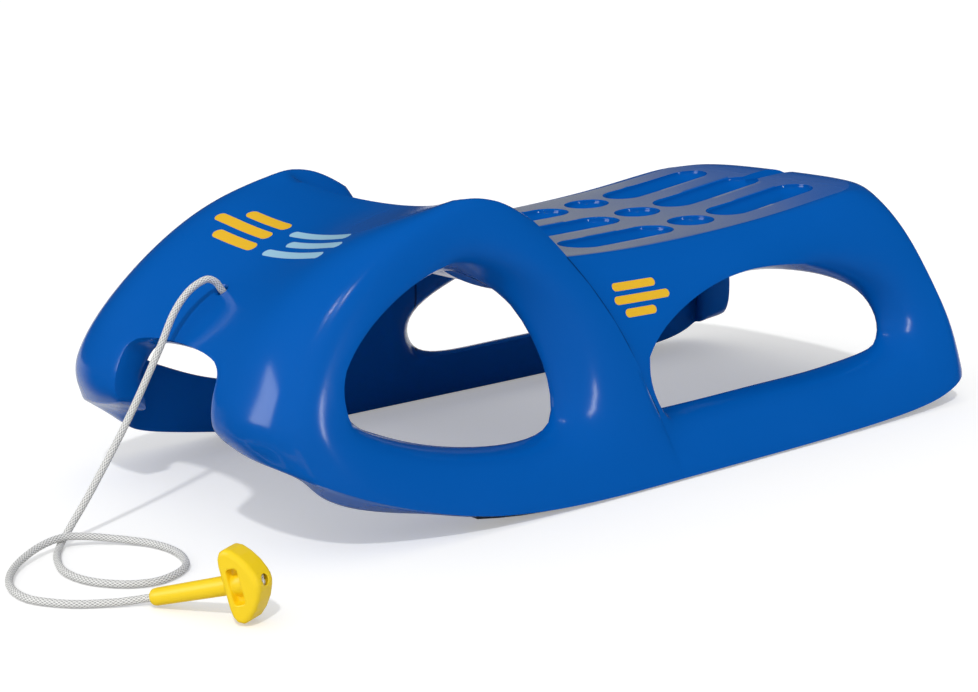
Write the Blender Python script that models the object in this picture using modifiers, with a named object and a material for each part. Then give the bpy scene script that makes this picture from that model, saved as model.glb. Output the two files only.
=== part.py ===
"""Moulded snow sled for a child, with runner strips, pull cord and grip."""
import math

import bmesh
import bpy
from mathutils import Matrix, Vector

# Overall sizes
LENGTH = 0.95
HALF_WIDTH = 0.2355
HEIGHT = 0.298

# Body walls
WALL = 0.042
UNDER_EDGE_DROP = 0.004
UNDER_TUCK = 0.006
SHOULDER_DROP = 0.012
SHOULDER_STEP = 0.003
HEAD_STEP = 0.008
SILL_RISE = 0.003
HEAD_DROP = 0.014
NOSE_DROP = 0.014

# Seat pockets
POCKET_PITCH = 0.082
POCKET_RADIUS = 0.0245
POCKET_DEPTH = 0.012
POCKET_ROUND = 0.009
POCKET_RISE = 0.024
CHANNEL_RADIUS = 0.0075
CHANNEL_DEPTH = 0.006
CHANNEL_ROUND = 0.0035

# Runner strips
RUNNER_INSET = 0.022
RUNNER_WIDTH = 0.016
RUNNER_THICKNESS = 0.003
RUNNER_PROUD = 0.0015
SCREW_HEAD_RADIUS = 0.0042
SCREW_RADIUS = 0.0018
SCREW_CONE = 0.0020
SCREW_LENGTH = 0.014
SCREW_SINK = 0.0003
SCREW_SOCKET_RADIUS = 0.0017
SCREW_SOCKET_DEPTH = 0.0012

# Cord and its knots
CORD_RADIUS = 0.0035
CORD_STEP = 0.0147
CORD_HOLE_RADIUS = 0.0052
CORD_HOLE_REACH = 0.030
KNOT_TURN_RADIUS = 0.0052
KNOT_TURN_LIFT = 0.0022
KNOT_STANDOFF = 0.0167
KNOT_NEST = 0.0008
KNOT_LEANS = tuple(math.radians(lean) for lean in (18, -14, 22))

# Grip
STEM_RADIUS = 0.0075
STEM_ROOT_RADIUS = 0.0083
STEM_CHAMFER = 0.0012
STEM_LENGTH = 0.079
HEAD_DEPTH = 0.036
HEAD_LENGTH = 0.066
HEAD_THICKNESS = 0.025
HEAD_ROUND = 0.0045
BOSS_RADIUS = 0.0065
CORE_START = 0.0075
CORE_DEPTH_ALONG = 0.0180
CORE_LENGTH = 0.025
CORE_SINK = 0.0085
CORE_ROUND = 0.0020
BORE_RADIUS = 0.0042
SEAT_RADIUS = 0.0105
SEAT_DEPTH = 0.0090

# Clearances
GAP = 0.0003
OVERRUN = 0.004

# Counts and joined spacing
MERGE = 0.00001
SUBDIVISIONS = 2
FACET_SHARE = 0.45
ROUND_STEPS = 24
POCKET_STEPS = 20
KNOT_STEPS = 16
KNOT_SIDES = 8
CORD_SIDES = 3

# Outer surface from the front arch over hood and seat to the rear arch, half the width
strip_shares = (
    ((0, -0.457, 0.568), (0.331, -0.463, 0.549), (0.535, -0.474, 0.508), (0.696, -0.472, 0.463)),
    ((0, -0.438, 0.631), (0.318, -0.444, 0.638), (0.522, -0.455, 0.628), (0.688, -0.453, 0.584)),
    ((0, -0.389, 0.742), (0.297, -0.394, 0.765), (0.501, -0.402, 0.787), (0.645, -0.394, 0.775)),
    ((0, -0.316, 0.856), (0.280, -0.318, 0.882), (0.493, -0.322, 0.925), (0.637, -0.320, 0.918)),
    ((0, -0.217, 0.928), (0.290, -0.219, 0.937), (0.510, -0.225, 0.962), (0.620, -0.232, 0.996)),
    ((0, -0.200, 0.792), (0.275, -0.200, 0.799), (0.480, -0.194, 0.828), (0.620, -0.183, 1.002)),
    ((0, -0.153, 0.736), (0.263, -0.153, 0.736), (0.455, -0.149, 0.750), (0.611, -0.143, 0.925)),
    ((0, -0.124, 0.735), (0.263, -0.124, 0.735), (0.454, -0.124, 0.738), (0.594, -0.128, 0.835)),
    ((0, -0.095, 0.735), (0.263, -0.095, 0.735), (0.459, -0.095, 0.735), (0.586, -0.097, 0.745)),
    ((0, 0.021, 0.735), (0.263, 0.021, 0.735), (0.459, 0.021, 0.735), (0.582, 0.021, 0.731)),
    ((0, 0.137, 0.748), (0.263, 0.137, 0.748), (0.471, 0.137, 0.748), (0.592, 0.137, 0.747)),
    ((0, 0.242, 0.774), (0.263, 0.242, 0.774), (0.480, 0.242, 0.774), (0.608, 0.242, 0.770)),
    ((0, 0.342, 0.818), (0.263, 0.342, 0.818), (0.488, 0.342, 0.815), (0.625, 0.339, 0.808)),
    ((0, 0.419, 0.846), (0.255, 0.419, 0.846), (0.467, 0.414, 0.843), (0.590, 0.402, 0.834)),
    ((0, 0.455, 0.824), (0.255, 0.454, 0.824), (0.452, 0.446, 0.818), (0.560, 0.434, 0.798)),
    ((0, 0.479, 0.537), (0.297, 0.480, 0.527), (0.552, 0.482, 0.503), (0.798, 0.465, 0.503)),
)

# Hollow underside below each row of the strip, along and up
under_shares = (
    (-0.423, 0.503), (-0.408, 0.550), (-0.368, 0.638), (-0.316, 0.732), (-0.248, 0.820),
    (-0.211, 0.725), (-0.158, 0.660), (-0.124, 0.652), (-0.095, 0.648), (0.021, 0.648),
    (0.137, 0.658), (0.242, 0.681), (0.335, 0.722), (0.392, 0.745), (0.417, 0.702),
    (0.447, 0.497),
)

# Legs, pillars and rails: shoulder, head, sill and foot of each column, front arch first
column_shares = (
    ((0.345, -0.476, 0.477), (0.354, -0.482, 0.409), (0.360, -0.482, 0.350), (0.364, -0.472, 0.318)),
    ((0.544, -0.484, 0.443), (0.552, -0.488, 0.389), (0.552, -0.486, 0.338), (0.552, -0.476, 0.290)),
    ((0.722, -0.477, 0.423), (0.739, -0.478, 0.388), (0.752, -0.476, 0.340), (0.760, -0.467, 0.276)),
    ((0.773, -0.453, 0.503), (0.824, -0.455, 0.443), (0.862, -0.453, 0.369), (0.887, -0.442, 0.232)),
    ((0.730, -0.402, 0.685), (0.798, -0.414, 0.545), (0.870, -0.408, 0.392), (0.943, -0.394, 0.161)),
    ((0.696, -0.322, 0.868), (0.730, -0.333, 0.740), (0.892, -0.339, 0.282), (0.977, -0.318, 0.081)),
    ((0.671, -0.240, 0.945), (0.696, -0.236, 0.832), (0.913, -0.248, 0.202), (0.992, -0.248, 0.030)),
    ((0.679, -0.178, 0.905), (0.762, -0.113, 0.690), (0.909, -0.069, 0.172), (1.000, -0.141, 0.000)),
    ((0.696, -0.118, 0.799), (0.794, -0.066, 0.570), (0.909, -0.013, 0.190), (1.000, -0.012, 0.000)),
    ((0.676, -0.1155, 0.785), (0.770, -0.0635, 0.562), (0.886, -0.0105, 0.188), (1.000, -0.004, 0.000)),
    ((0.676, -0.093, 0.664), (0.822, -0.027, 0.400), (0.884, -0.002, 0.182), (1.000, 0.010, 0.000)),
    ((0.692, 0.027, 0.671), (0.764, 0.063, 0.572), (0.896, 0.089, 0.184), (1.000, 0.095, 0.000)),
    ((0.705, 0.142, 0.688), (0.752, 0.166, 0.642), (0.896, 0.179, 0.190), (1.000, 0.184, 0.000)),
    ((0.718, 0.251, 0.711), (0.760, 0.282, 0.590), (0.896, 0.276, 0.188), (1.000, 0.276, 0.003)),
    ((0.730, 0.347, 0.720), (0.812, 0.418, 0.478), (0.894, 0.438, 0.220), (0.994, 0.376, 0.010)),
    ((0.722, 0.413, 0.722), (0.815, 0.454, 0.478), (0.902, 0.464, 0.262), (0.989, 0.450, 0.034)),
    ((0.713, 0.446, 0.692), (0.815, 0.468, 0.478), (0.909, 0.484, 0.302), (0.972, 0.494, 0.094)),
    ((0.798, 0.466, 0.436), (0.824, 0.482, 0.369), (0.849, 0.498, 0.268), (0.870, 0.507, 0.107)),
    ((0.603, 0.490, 0.436), (0.628, 0.502, 0.356), (0.645, 0.510, 0.255), (0.662, 0.510, 0.114)),
)

# Way in from the outer to the inner wall at each column: across, and along at the shoulder and below
inward_shares = (
    (0, 1, 1), (0, 1, 1), (-0.75, 0.95, 0.95), (-1, 0.45, 0.45), (-1, 0.1, 0.1), (-1, 0, 0),
    (-1, 0, 0), (-1, -0.2, -1.35), (-1, -0.3, -1.2), (-1, -0.2, -1.05), (-1, 0, -0.75), (-1, 0, 0),
    (-1, 0, 0), (-1, 0, 0), (-1, 0, -1.1), (-1, 0, 0), (-1, -0.35, -0.35),
    (-0.75, -0.95, -0.95), (0, -1, -1),
)

# Drop of the inner foot below the outer one at each column of the nose
nose_shares = (1, 1, 1.4, 1.7, 1.2, 0.5, 0.2)

# Cells between head and sill that stay open, and crease strengths
FRONT_CELLS = (4, 5, 6)
REAR_CELLS = (10, 11, 12, 13)
FRONT_COLUMNS = 2
STEP_COLUMN = 8
HOOD_ROW = 4
SEAT_ROWS = (8, 13)
FOOT_CREASE = 0.85
SEAT_CREASE = 0.75
HOOD_CREASE = 0.6
CREST_CREASE = 0.35
STEP_CREASE = 0.9
HOLLOW_CREASE = 0.8
RIM_CREASE = 0.6
RIM_END_CREASE = 0.85
ARCH_CREASE = 0.6
INNER_SILL_CREASE = 0.5

# Pockets as first and last centre along the seat
pocket_shares = ((0.0, 0.103), (0.1695, 0.1695), (0.235, 0.342))
channel_shares = (0.342, 0.470)

# Runner ends in columns, and screw places along
RUNNER_COLUMNS = (5.6, 15.6)
RUNNER_STEPS = 26
screw_shares = (-0.137, 0.126, 0.380)

# Cord hole centre and lean, and the route outside
hole_shares = (-0.407, 0.708)
HOLE_LEAN = math.radians(36)
route_shares = (
    (0, -0.4145, 0.2330), (-0.001, -0.4255, 0.2355), (-0.002, -0.4440, 0.2260),
    (-0.002, -0.4615, 0.2065), (-0.003, -0.4800, 0.1715), (-0.004, -0.5160, 0.1105),
    (-0.006, -0.5580, 0.0480), (-0.006, -0.5850, 0.0134), (0.0085, -0.6030, 0.0044),
    (0.038, -0.622, 0.0041), (0.076, -0.635, 0.0041), (0.114, -0.631, 0.0041),
    (0.145, -0.609, 0.0041), (0.155, -0.580, 0.0041), (0.138, -0.546, 0.0041),
    (0.101, -0.530, 0.0041), (0.060, -0.534, 0.0042), (0.027, -0.558, 0.0066),
    (0.0105, -0.5850, 0.0106), (0.0085, -0.6050, 0.0121), (0.017, -0.634, 0.0096),
    (0.040, -0.667, 0.0052), (0.077, -0.690, 0.0041), (0.118, -0.694, 0.0041),
    (0.154, -0.674, 0.0041), (0.1785, -0.6440, 0.0046),
)

# Grip place, its turn on the floor and the lift of its stem
grip_shares = (0.201, -0.617, 0.0090)
GRIP_TURN = math.radians(24)
GRIP_LIFT = math.radians(16)
head_outline_shares = (
    (0, 0.28), (0.03, 0.39), (0.12, 0.47), (0.28, 0.50), (0.44, 0.47), (0.64, 0.375),
    (0.82, 0.25), (0.94, 0.12), (0.985, 0.04),
)


def clear_scene():
    """Removes what the start-up file holds."""
    for found in list(bpy.data.objects):
        bpy.data.objects.remove(found)


def collection(name, hidden):
    """Makes a collection under the scene."""
    made = bpy.data.collections.new(name)
    made.hide_render = hidden
    bpy.context.scene.collection.children.link(made)
    return made


def material(name, colour, roughness, metallic):
    """Makes a plain Principled material."""
    made = bpy.data.materials.new(name)
    made.use_nodes = True
    shader = made.node_tree.nodes["Principled BSDF"]
    shader.inputs["Base Color"].default_value = (*colour, 1)
    shader.inputs["Roughness"].default_value = roughness
    shader.inputs["Metallic"].default_value = metallic
    made.diffuse_color = (*colour, 1)
    return made


def mesh_object(name, bm):
    """Turns a bmesh into a part."""
    bmesh.ops.recalc_face_normals(bm, faces=bm.faces)
    data = bpy.data.meshes.new(name)
    bm.to_mesh(data)
    bm.free()
    made = bpy.data.objects.new(name, data)
    PARTS.objects.link(made)
    return made


def as_cutter(obj):
    """Moves a shape among the cutters."""
    PARTS.objects.unlink(obj)
    CUTTERS.objects.link(obj)
    obj.display_type = "WIRE"
    obj.hide_render = True
    return obj


def smooth(obj):
    """Shades a part smooth with crisp corners kept by angle."""
    for face in obj.data.polygons:
        face.use_smooth = True


def boolean(obj, other, operation):
    """Joins or cuts with the exact solver."""
    modifier = obj.modifiers.new(other.name, "BOOLEAN")
    modifier.operation = operation
    modifier.solver = "EXACT"
    modifier.object = other


def subdivide(obj):
    """Rounds a cage."""
    modifier = obj.modifiers.new("subdivide", "SUBSURF")
    modifier.levels = SUBDIVISIONS
    modifier.render_levels = SUBDIVISIONS


def mirror(obj):
    """Mirrors across the middle plane."""
    modifier = obj.modifiers.new("mirror", "MIRROR")
    modifier.merge_threshold = MERGE
    modifier.use_clip = True


def turned(name, profile):
    """Turns a profile, listed from top to bottom, about its Z axis."""
    bm = bmesh.new()
    points = [bm.verts.new((radius, 0, height)) for radius, height in profile]
    for first, second in zip(points, points[1:]):
        bm.edges.new((first, second))
    made = mesh_object(name, bm)
    modifier = made.modifiers.new("turn", "SCREW")
    modifier.steps = ROUND_STEPS
    modifier.render_steps = ROUND_STEPS
    modifier.use_merge_vertices = True
    modifier.merge_threshold = MERGE
    return made


def rod(name, radius, bottom, top):
    """Makes a plain round rod along Z."""
    return turned(name, ((0, top), (radius, top), (radius, bottom), (0, bottom)))


def body_point(share):
    """Turns shares of half width, length and height into a place on the body."""
    across, along, up = share
    return Vector((across * HALF_WIDTH, along * LENGTH, up * HEIGHT + RUNNER_PROUD))


def inner_rows():
    """Lays out the underside of the strip."""
    rows = []
    last = len(strip_shares) - 1
    for number, (row, (along, up)) in enumerate(zip(strip_shares, under_shares)):
        outer = [body_point(share) for share in row]
        inward = inward_shares[number + FRONT_COLUMNS]
        level = body_point((0, along, up))
        points = [Vector((point.x, level.y, level.z)) for point in outer[:3]]
        if 0 < number < last:
            points[2].x -= UNDER_TUCK
            edge_y = level.y
        else:
            edge_y = outer[3].y + inward[1] * WALL
        edge_x = outer[3].x + inward[0] * (WALL - UNDER_EDGE_DROP)
        points.append(Vector((edge_x, edge_y, level.z - UNDER_EDGE_DROP)))
        rows.append(points)
    return rows


def inner_column(number, top):
    """Lays out the inner wall behind one column, below its top point."""
    across, first_along, along = inward_shares[number]
    points = []
    for row, share in enumerate(column_shares[number]):
        shift = along if row else first_along
        point = body_point(share) + Vector((across * WALL, shift * WALL, 0))
        if row == 0:
            point.z = min(point.z - SHOULDER_DROP, top.z - SHOULDER_STEP)
        elif row == 1:
            drop = HEAD_DROP if REAR_CELLS[0] <= number <= REAR_CELLS[-1] + 1 else 0
            point.z = min(point.z - drop, top.z - HEAD_STEP)
        elif row == 2:
            point.z += SILL_RISE
        elif number < len(nose_shares):
            point.z = max(RUNNER_PROUD, point.z - NOSE_DROP * nose_shares[number])
        points.append(point)
    return points


def strip_end(rows, number):
    """Finds the point of the strip that a column hangs from."""
    if number < FRONT_COLUMNS:
        return rows[0][number + 1]
    if number == len(column_shares) - 1:
        return rows[-1][FRONT_COLUMNS]
    return rows[number - FRONT_COLUMNS][3]


def body_grid(bm, rows, columns, flip):
    """Lays faces over one side of the shell and returns its points."""
    strip = [[bm.verts.new(point) for point in row] for row in rows]
    sides = []
    for number, column in enumerate(columns):
        sides.append([strip_end(strip, number)] + [bm.verts.new(point) for point in column])
    faces = []
    for first, second in zip(strip, strip[1:]):
        for place in range(3):
            faces.append((first[place], first[place + 1], second[place + 1], second[place]))
    for number, (first, second) in enumerate(zip(sides, sides[1:])):
        for row in range(4):
            if row == 2 and number in FRONT_CELLS + REAR_CELLS:
                continue
            faces.append((first[row], first[row + 1], second[row + 1], second[row]))
    for face in faces:
        bm.faces.new(reversed(face) if flip else face)
    return strip, sides


def crease(bm, layer, first, second, strength):
    """Creases the edge between two points."""
    bm.edges.get((first, second))[layer] = strength


def crease_body(bm, outer, inner):
    """Creases feet, seat edge, hood rim, side step and the rims of the openings."""
    layer = bm.edges.layers.float.new("crease_edge")
    for strip, sides in (outer, inner):
        for first, second in zip(sides, sides[1:]):
            crease(bm, layer, first[4], second[4], FOOT_CREASE)
    strip, sides = outer
    for row in range(*SEAT_ROWS):
        crease(bm, layer, strip[row][3], strip[row + 1][3], SEAT_CREASE)
    for place in range(3):
        crease(bm, layer, strip[HOOD_ROW][place], strip[HOOD_ROW][place + 1], HOOD_CREASE)
    for row in range(HOOD_ROW, SEAT_ROWS[0] - 1):
        crease(bm, layer, strip[row][3], strip[row + 1][3], CREST_CREASE)
    for row in range(3):
        crease(bm, layer, sides[STEP_COLUMN][row], sides[STEP_COLUMN][row + 1], STEP_CREASE)
        crease(bm, layer, sides[STEP_COLUMN + 1][row], sides[STEP_COLUMN + 1][row + 1], HOLLOW_CREASE)
    for cells in (FRONT_CELLS, REAR_CELLS):
        first = sides[cells[0]]
        crease(bm, layer, first[2], first[3], RIM_END_CREASE)
        for number in cells:
            crease(bm, layer, inner[1][number][3], inner[1][number + 1][3], INNER_SILL_CREASE)
        for number in cells[:-1]:
            crease(bm, layer, sides[number][2], sides[number + 1][2], RIM_CREASE)
    for row, column in ((strip[0][:2], sides[0]), (strip[-1][:3], sides[-1])):
        path = row + column[1:]
        for first, second in zip(path, path[1:]):
            crease(bm, layer, first, second, ARCH_CREASE)


def sled_body():
    """Builds the moulded body from its cage."""
    outer_rows = [[body_point(share) for share in row] for row in strip_shares]
    outer_columns = [[body_point(share) for share in column] for column in column_shares]
    under_rows = inner_rows()
    inner_columns = [inner_column(number, strip_end(under_rows, number))
                     for number in range(len(column_shares))]
    bm = bmesh.new()
    outer = body_grid(bm, outer_rows, outer_columns, False)
    inner = body_grid(bm, under_rows, inner_columns, True)
    pair = {}
    for first, second in zip(outer[0] + outer[1], inner[0] + inner[1]):
        pair.update(zip(first, second))
    rims = [edge.verts[:] for edge in bm.edges if edge.is_boundary and edge.verts[0] in pair
            and (edge.verts[0].co.x > 0 or edge.verts[1].co.x > 0)]
    for first, second in rims:
        bm.faces.new((first, second, pair[second], pair[first]))
    bmesh.ops.recalc_face_normals(bm, faces=bm.faces)
    crease_body(bm, outer, inner)
    body = mesh_object("sled_body", bm)
    mirror(body)
    subdivide(body)
    thin = body.modifiers.new("thin", "DECIMATE")
    thin.ratio = FACET_SHARE
    thin.use_symmetry = True
    for cutter in seat_cutters() + [hole_cutter()]:
        boolean(body, cutter, "DIFFERENCE")
    return body


def seat_level(along):
    """Reads height and slope of the seat at a place along it."""
    rows = [body_point(row[0]) for row in strip_shares[SEAT_ROWS[0]:SEAT_ROWS[1] + 2]]
    for first, second in zip(rows, rows[1:]):
        if along <= second.y:
            break
    slope = (second.z - first.z) / (second.y - first.y)
    return first.z + slope * (along - first.y), slope


def add_slot(bm, across, ends, radius, depth, rounding):
    """Adds the shape of a round-ended pocket that follows the seat."""
    start, stop = (share * LENGTH for share in ends)
    first_level, second_level = seat_level(start)[0], seat_level(stop)[0]
    if stop > start:
        tilt = math.atan2(second_level - first_level, stop - start)
    else:
        tilt = math.atan(seat_level(start)[1])
    slot = bmesh.new()
    turn = Matrix.Rotation(math.pi / POCKET_STEPS, 4, "Z")
    bmesh.ops.create_cone(slot, cap_ends=True, segments=POCKET_STEPS, radius1=radius,
                          radius2=radius, depth=depth + POCKET_RISE, matrix=turn)
    half = math.hypot(second_level - first_level, stop - start) / 2
    for vert in slot.verts:
        vert.co.y += math.copysign(half, vert.co.y)
        vert.co.z += (POCKET_RISE - depth) / 2
    floor = [edge for edge in slot.edges if all(vert.co.z < 0 for vert in edge.verts)]
    bmesh.ops.bevel(slot, geom=floor, offset=rounding, segments=3, profile=0.5, affect="EDGES")
    place = Matrix.Translation((across, (start + stop) / 2, (first_level + second_level) / 2))
    slot.transform(place @ Matrix.Rotation(tilt, 4, "X"))
    data = bpy.data.meshes.new("slot")
    slot.to_mesh(data)
    slot.free()
    bm.from_mesh(data)
    bpy.data.meshes.remove(data)


def seat_cutters():
    """Makes the cutter of all nine pockets and that of the drain channel."""
    pockets = bmesh.new()
    for ends in pocket_shares:
        for column in (-1, 0, 1):
            add_slot(pockets, column * POCKET_PITCH, ends, POCKET_RADIUS, POCKET_DEPTH, POCKET_ROUND)
    channel = bmesh.new()
    add_slot(channel, 0, channel_shares, CHANNEL_RADIUS, CHANNEL_DEPTH, CHANNEL_ROUND)
    return [as_cutter(mesh_object("pocket_cutter", pockets)),
            as_cutter(mesh_object("channel_cutter", channel))]


def hole_place():
    """Gives the mouth of the cord hole and the way out of it."""
    along, up = hole_shares
    mouth = body_point((0, along, up))
    return mouth, Vector((0, -math.sin(HOLE_LEAN), math.cos(HOLE_LEAN)))


def hole_cutter():
    """Makes the cutter of the cord hole."""
    mouth, _ = hole_place()
    cutter = as_cutter(rod("cord_hole_cutter", CORD_HOLE_RADIUS, -CORD_HOLE_REACH - KNOT_STANDOFF,
                           CORD_HOLE_REACH))
    cutter.location = mouth
    cutter.rotation_euler = (HOLE_LEAN, 0, 0)
    return cutter


def foot_line(column):
    """Reads the smooth line of the rail foot at a fractional column."""
    whole = int(column)
    part = column - whole
    weights = ((1 - part) ** 3 / 6, (3 * part ** 3 - 6 * part ** 2 + 4) / 6,
               (-3 * part ** 3 + 3 * part ** 2 + 3 * part + 1) / 6, part ** 3 / 6)
    point = Vector((0, 0, 0))
    for weight, number in zip(weights, range(whole - 1, whole + 3)):
        outer = body_point(column_shares[number][3])
        inner = inner_column(number, outer)[3]
        point += weight * (outer + inner) / 2
    return point


def runner_line():
    """Lists the places of the runner along the foot."""
    first, last = RUNNER_COLUMNS
    return [foot_line(first + (last - first) * step / RUNNER_STEPS) for step in range(RUNNER_STEPS + 1)]


def ribbon(name, side, above, below, half_width, overrun):
    """Sweeps a flat bar along the foot line of one rail."""
    line = runner_line()
    bm = bmesh.new()
    sections = []
    for number, point in enumerate(line):
        before = line[max(number - 1, 0)]
        after = line[min(number + 1, len(line) - 1)]
        way = Vector((0, after.y - before.y, after.z - before.z)).normalized()
        normal = Vector((0, -way.z, way.y))
        shift = overrun if number == len(line) - 1 else -overrun if number == 0 else 0
        middle = Vector((side * (HALF_WIDTH - RUNNER_INSET), point.y, point.z)) + way * shift
        sections.append([bm.verts.new(middle + normal * lift + Vector((reach, 0, 0)))
                         for lift, reach in ((above, -half_width), (above, half_width),
                                             (-below, half_width), (-below, -half_width))])
    for first, second in zip(sections, sections[1:]):
        for corner in range(4):
            other = (corner + 1) % 4
            bm.faces.new((first[corner], first[other], second[other], second[corner]))
    bm.faces.new(sections[0])
    bm.faces.new(sections[-1])
    return mesh_object(name, bm)


def foot_level(along):
    """Reads the foot line at a place along the rail."""
    line = runner_line()
    for first, second in zip(line, line[1:]):
        if along <= second.y:
            break
    share = (along - first.y) / (second.y - first.y)
    return first.z + share * (second.z - first.z)


def screw_profile():
    """Gives the profile of a countersunk screw, head down."""
    return ((0, SCREW_LENGTH), (SCREW_RADIUS, SCREW_LENGTH), (SCREW_RADIUS, SCREW_CONE),
            (SCREW_HEAD_RADIUS, 0), (0, 0))


def screw_hole_profile():
    """Gives the profile of a screw's hole, open at the head."""
    shank, head = SCREW_RADIUS + GAP, SCREW_HEAD_RADIUS + GAP
    return ((0, SCREW_LENGTH + GAP), (shank, SCREW_LENGTH + GAP), (shank, SCREW_CONE + GAP),
            (head, GAP), (head, -OVERRUN), (0, -OVERRUN))


def runner(side, word, body):
    """Builds one runner strip with its groove, screws and holes."""
    recess = RUNNER_THICKNESS - RUNNER_PROUD
    half = RUNNER_WIDTH / 2
    strip = ribbon(f"runner_strip_{word}", side, recess, RUNNER_PROUD, half, 0)
    groove = as_cutter(ribbon(f"groove_cutter_{word}", side, recess + GAP, OVERRUN, half + GAP, GAP))
    boolean(body, groove, "DIFFERENCE")
    screws = []
    for number, share in enumerate(screw_shares):
        along = share * LENGTH
        place = (side * (HALF_WIDTH - RUNNER_INSET), along,
                 foot_level(along) - RUNNER_PROUD + SCREW_SINK)
        screw = turned(f"strip_screw_{word}_{number + 1}", screw_profile())
        screw.location = place
        socket = as_cutter(socket_cutter(f"socket_cutter_{word}_{number + 1}"))
        socket.location = place
        boolean(screw, socket, "DIFFERENCE")
        hole = as_cutter(turned(f"screw_cutter_{word}_{number + 1}", screw_hole_profile()))
        hole.location = place
        boolean(strip, hole, "DIFFERENCE")
        boolean(body, hole, "DIFFERENCE")
        screws.append(screw)
    return strip, screws


def socket_cutter(name):
    """Makes the six-sided cutter of a screw socket."""
    bm = bmesh.new()
    bmesh.ops.create_cone(bm, cap_ends=True, segments=6, radius1=SCREW_SOCKET_RADIUS,
                          radius2=SCREW_SOCKET_RADIUS, depth=SCREW_SOCKET_DEPTH * 2)
    return mesh_object(name, bm)


def knot(name, place, way):
    """Builds a pulled-tight knot from three turns of cord about a core."""
    bm = bmesh.new()
    bmesh.ops.create_icosphere(bm, subdivisions=2, radius=KNOT_TURN_RADIUS)
    made = mesh_object(name, bm)
    for number, lean in enumerate(KNOT_LEANS):
        bpy.ops.mesh.primitive_torus_add(major_radius=KNOT_TURN_RADIUS, minor_radius=CORD_RADIUS,
                                         major_segments=KNOT_STEPS, minor_segments=KNOT_SIDES)
        turn = bpy.context.object
        turn.name = f"{name}_turn_{number + 1}"
        for owner in list(turn.users_collection):
            owner.objects.unlink(turn)
        PARTS.objects.link(turn)
        turn.rotation_euler = (lean, lean / 2, 0)
        turn.location = (0, 0, (number - 1) * KNOT_TURN_LIFT)
        turn.parent = made
        as_cutter(turn)
        boolean(made, turn, "UNION")
    made.location = place
    made.rotation_mode = "QUATERNION"
    made.rotation_quaternion = way.to_track_quat("Z", "Y")
    return made


def knot_reach():
    """Gives how far a knot stands from its middle along the cord."""
    return CORD_RADIUS + KNOT_TURN_LIFT + KNOT_TURN_RADIUS * math.sin(max(KNOT_LEANS) * 1.2)


def smooth_route(points):
    """Runs a smooth curve through the route and reads it at even steps."""
    fine = []
    padded = [points[0] * 2 - points[1]] + points + [points[-1] * 2 - points[-2]]
    for a, b, c, d in zip(padded, padded[1:], padded[2:], padded[3:]):
        for step in range(ROUND_STEPS):
            t = step / ROUND_STEPS
            fine.append((b * 2 + (c - a) * t + (a * 2 - b * 5 + c * 4 - d) * t ** 2
                         + (b * 3 - a - c * 3 + d) * t ** 3) / 2)
    fine.append(points[-1])
    lengths = [0]
    for first, second in zip(fine, fine[1:]):
        lengths.append(lengths[-1] + (second - first).length)
    count = round(lengths[-1] / CORD_STEP)
    read = []
    place = 0
    for number in range(count + 1):
        wanted = lengths[-1] * number / count
        while place < len(fine) - 2 and lengths[place + 1] < wanted:
            place += 1
        span = lengths[place + 1] - lengths[place]
        share = (wanted - lengths[place]) / span if span else 0
        read.append(fine[place].lerp(fine[place + 1], share))
    return read


def grip_frame():
    """Gives the grip's origin at the cord end of its stem and its turn."""
    place = Vector(grip_shares) * LENGTH
    turn = Matrix.Rotation(GRIP_TURN, 3, "Z") @ Matrix.Rotation(-GRIP_LIFT, 3, "Y")
    return place, turn


def pull_cord():
    """Builds the cord from the knot under the hood to the knot in the grip."""
    mouth, out = hole_place()
    place, turn = grip_frame()
    way = turn @ Vector((1, 0, 0))
    inner = mouth - out * (CORD_HOLE_REACH + KNOT_STANDOFF - knot_reach() - GAP)
    straight_in = CORD_RADIUS * 2
    seat = STEM_LENGTH + HEAD_DEPTH - SEAT_DEPTH
    outside = [mouth] + [Vector(share) * LENGTH for share in route_shares]
    outside.append(place - way * straight_in)
    points = [inner, mouth.lerp(inner, 0.5)] + smooth_route(outside)
    points += [place, place + way * seat / 2, place + way * seat]
    curve = bpy.data.curves.new("pull_cord", "CURVE")
    curve.dimensions = "3D"
    curve.bevel_depth = CORD_RADIUS
    curve.bevel_resolution = CORD_SIDES
    curve.use_fill_caps = True
    spline = curve.splines.new("POLY")
    spline.points.add(len(points) - 1)
    for target, point in zip(spline.points, points):
        target.co = (*point, 1)
    made = bpy.data.objects.new("pull_cord", curve)
    PARTS.objects.link(made)
    return made


def grip_head():
    """Builds the rounded head of the grip with its side recesses."""
    curve = bpy.data.curves.new("grip_head", "CURVE")
    curve.dimensions = "2D"
    curve.fill_mode = "BOTH"
    curve.extrude = HEAD_THICKNESS / 2 - HEAD_ROUND
    curve.bevel_depth = HEAD_ROUND
    curve.bevel_resolution = 2
    outline = [(STEM_LENGTH + HEAD_ROUND + (HEAD_DEPTH - HEAD_ROUND * 2) * deep,
                (HEAD_LENGTH - HEAD_ROUND * 2) * long)
               for deep, long in head_outline_shares]
    outline += [(deep, -long) for deep, long in reversed(outline)]
    spline = curve.splines.new("POLY")
    spline.points.add(len(outline) - 1)
    spline.use_cyclic_u = True
    for target, (deep, long) in zip(spline.points, outline):
        target.co = (deep, long, 0, 1)
    holder = bpy.data.objects.new("grip_head_curve", curve)
    CUTTERS.objects.link(holder)
    bpy.context.view_layer.update()
    data = bpy.data.meshes.new_from_object(holder)
    bpy.data.objects.remove(holder)
    bm = bmesh.new()
    bm.from_mesh(data)
    bmesh.ops.remove_doubles(bm, verts=bm.verts, dist=MERGE)
    bmesh.ops.rotate(bm, verts=bm.verts, matrix=Matrix.Rotation(math.pi / 2, 3, "X"))
    return mesh_object("grip_head", bm)


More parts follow.
